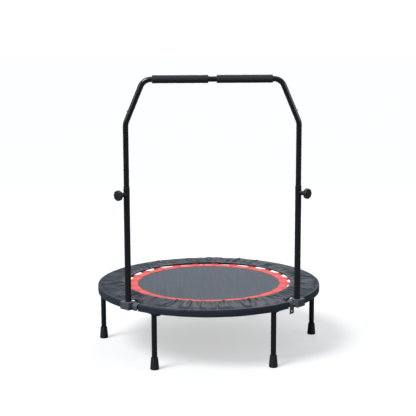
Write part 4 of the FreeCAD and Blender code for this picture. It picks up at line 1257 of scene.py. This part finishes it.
def studio_world():
    """White to the camera; to the object, a cool dome that is bright above and dim at the horizon."""
    world = bpy.data.worlds.new("Studio")
    w = fresh_wires(world)
    seen_by_camera = w.add("LightPath").outputs["Is Camera Ray"]
    direction = w.add("SeparateXYZ", {"Vector": coordinates(w, "Generated")})
    dome = w.remap(direction.outputs[2], 0.0, 1.0, 0.05, 0.50)
    strength = w.math("MAXIMUM", dome, w.math("MULTIPLY", seen_by_camera, 1.05))
    tint = w.mix(seen_by_camera, (0.86, 0.93, 1.0, 1), (1, 1, 1, 1))
    sky = w.add("Background", {"Color": tint, "Strength": strength})
    w.add("OutputWorld", {"Surface": sky.outputs[0]})
    return world


def floor_object():
    """Wide flat floor."""
    corners = [(x * FLOOR_HALF, y * FLOOR_HALF, 0) for x, y in ((-1, -1), (1, -1), (1, 1), (-1, 1))]
    mesh = bpy.data.meshes.new("floor")
    mesh.from_pydata(corners, [], [(0, 1, 2, 3)])
    mesh.materials.append(floor_paint())
    return add_object("floor", mesh)


def add_light(name, kind, power, tint, direction):
    """Light of a kind, SUN or AREA, that shines in a direction."""
    light = bpy.data.lights.new(name, kind)
    light.energy = power
    light.color = tint
    lamp = add_object(name, light)
    lamp.rotation_euler = Vector(direction).to_track_quat("-Z", "Y").to_euler()
    return lamp


def add_camera(settings):
    """The scene's camera, placed by its distance, height, turn and tilt."""
    data = bpy.data.cameras.new("Camera")
    data.lens = settings.lens
    data.sensor_width = SENSOR_WIDTH
    data.shift_x = CAMERA_SHIFT
    data.clip_end = 200
    camera = add_object("Camera", data)
    camera.location = (settings.distance * math.sin(settings.turn), -settings.distance * math.cos(settings.turn),
                       settings.height)
    turn = Matrix.Rotation(settings.turn, 4, "Z")
    tilt = Matrix.Rotation(math.pi / 2 - settings.tilt, 4, "X")
    camera.rotation_euler = (turn @ tilt @ Matrix.Rotation(CAMERA_ROLL, 4, "Z")).to_euler()
    bpy.context.scene.camera = camera


class TRAMPOLINE_OT_stage(bpy.types.Operator):
    """White floor, soft lights, pale world and the camera"""
    bl_idname = "trampoline.stage"
    bl_label = "Stage"
    bl_options = {"REGISTER", "UNDO"}

    def execute(self, context):
        settings = context.scene.trampoline_stage
        sun = add_light("sun", "SUN", settings.sun, SUN_COLOUR, SUN_DIRECTION)
        sun.data.angle = SUN_SPREAD
        staged = [floor_object(), sun]
        for name, place, target, size, power, tint in LAMPS:
            lamp = add_light(name, "AREA", power, tint, Vector(target) - Vector(place))
            lamp.location = place
            lamp.data.size = size
            staged.append(lamp)
        context.scene.world = studio_world()
        add_camera(settings)
        context.scene.view_settings.view_transform = "Standard"
        context.scene.view_settings.look = "None"
        return {"FINISHED"}


class TRAMPOLINE_PT_panel(bpy.types.Panel):
    """Sizes, colours and steps of the trampoline's looks"""
    bl_label = "Mini Trampoline"
    bl_idname = "TRAMPOLINE_PT_panel"
    bl_space_type = "VIEW_3D"
    bl_region_type = "UI"
    bl_category = "Trampoline"

    def draw(self, context):
        for group in (context.scene.trampoline_cover, context.scene.trampoline_mat,
                      context.scene.trampoline_metal, context.scene.trampoline_stage):
            box = self.layout.box()
            for name in group.__annotations__:
                box.prop(group, name)
        for step in STEPS:
            self.layout.operator(step.bl_idname)


STEPS = (TRAMPOLINE_OT_finishes, TRAMPOLINE_OT_springs, TRAMPOLINE_OT_mat, TRAMPOLINE_OT_tabs,
         TRAMPOLINE_OT_cover, TRAMPOLINE_OT_grips, TRAMPOLINE_OT_stage)
GROUPS_OF_SETTINGS = {"trampoline_cover": TrampolineCover, "trampoline_mat": TrampolineMat,
                      "trampoline_metal": TrampolineMetal, "trampoline_stage": TrampolineStage}


def register():
    for group in GROUPS_OF_SETTINGS.values():
        bpy.utils.register_class(group)
    for step in STEPS:
        bpy.utils.register_class(step)
    bpy.utils.register_class(TRAMPOLINE_PT_panel)
    for name, group in GROUPS_OF_SETTINGS.items():
        setattr(bpy.types.Scene, name, PointerProperty(type=group))


def unregister():
    for name in GROUPS_OF_SETTINGS:
        delattr(bpy.types.Scene, name)
    bpy.utils.unregister_class(TRAMPOLINE_PT_panel)
    for step in reversed(STEPS):
        bpy.utils.unregister_class(step)
    for group in reversed(list(GROUPS_OF_SETTINGS.values())):
        bpy.utils.unregister_class(group)


def main():
    """Registers the add-on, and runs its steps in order."""
    register()
    for step in STEPS:
        package, name = step.bl_idname.split(".")
        result = getattr(getattr(bpy.ops, package), name)()
        if result != {"FINISHED"}:
            raise RuntimeError(f"{step.bl_idname} didn't finish")
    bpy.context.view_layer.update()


if __name__ == "__main__":
    main()
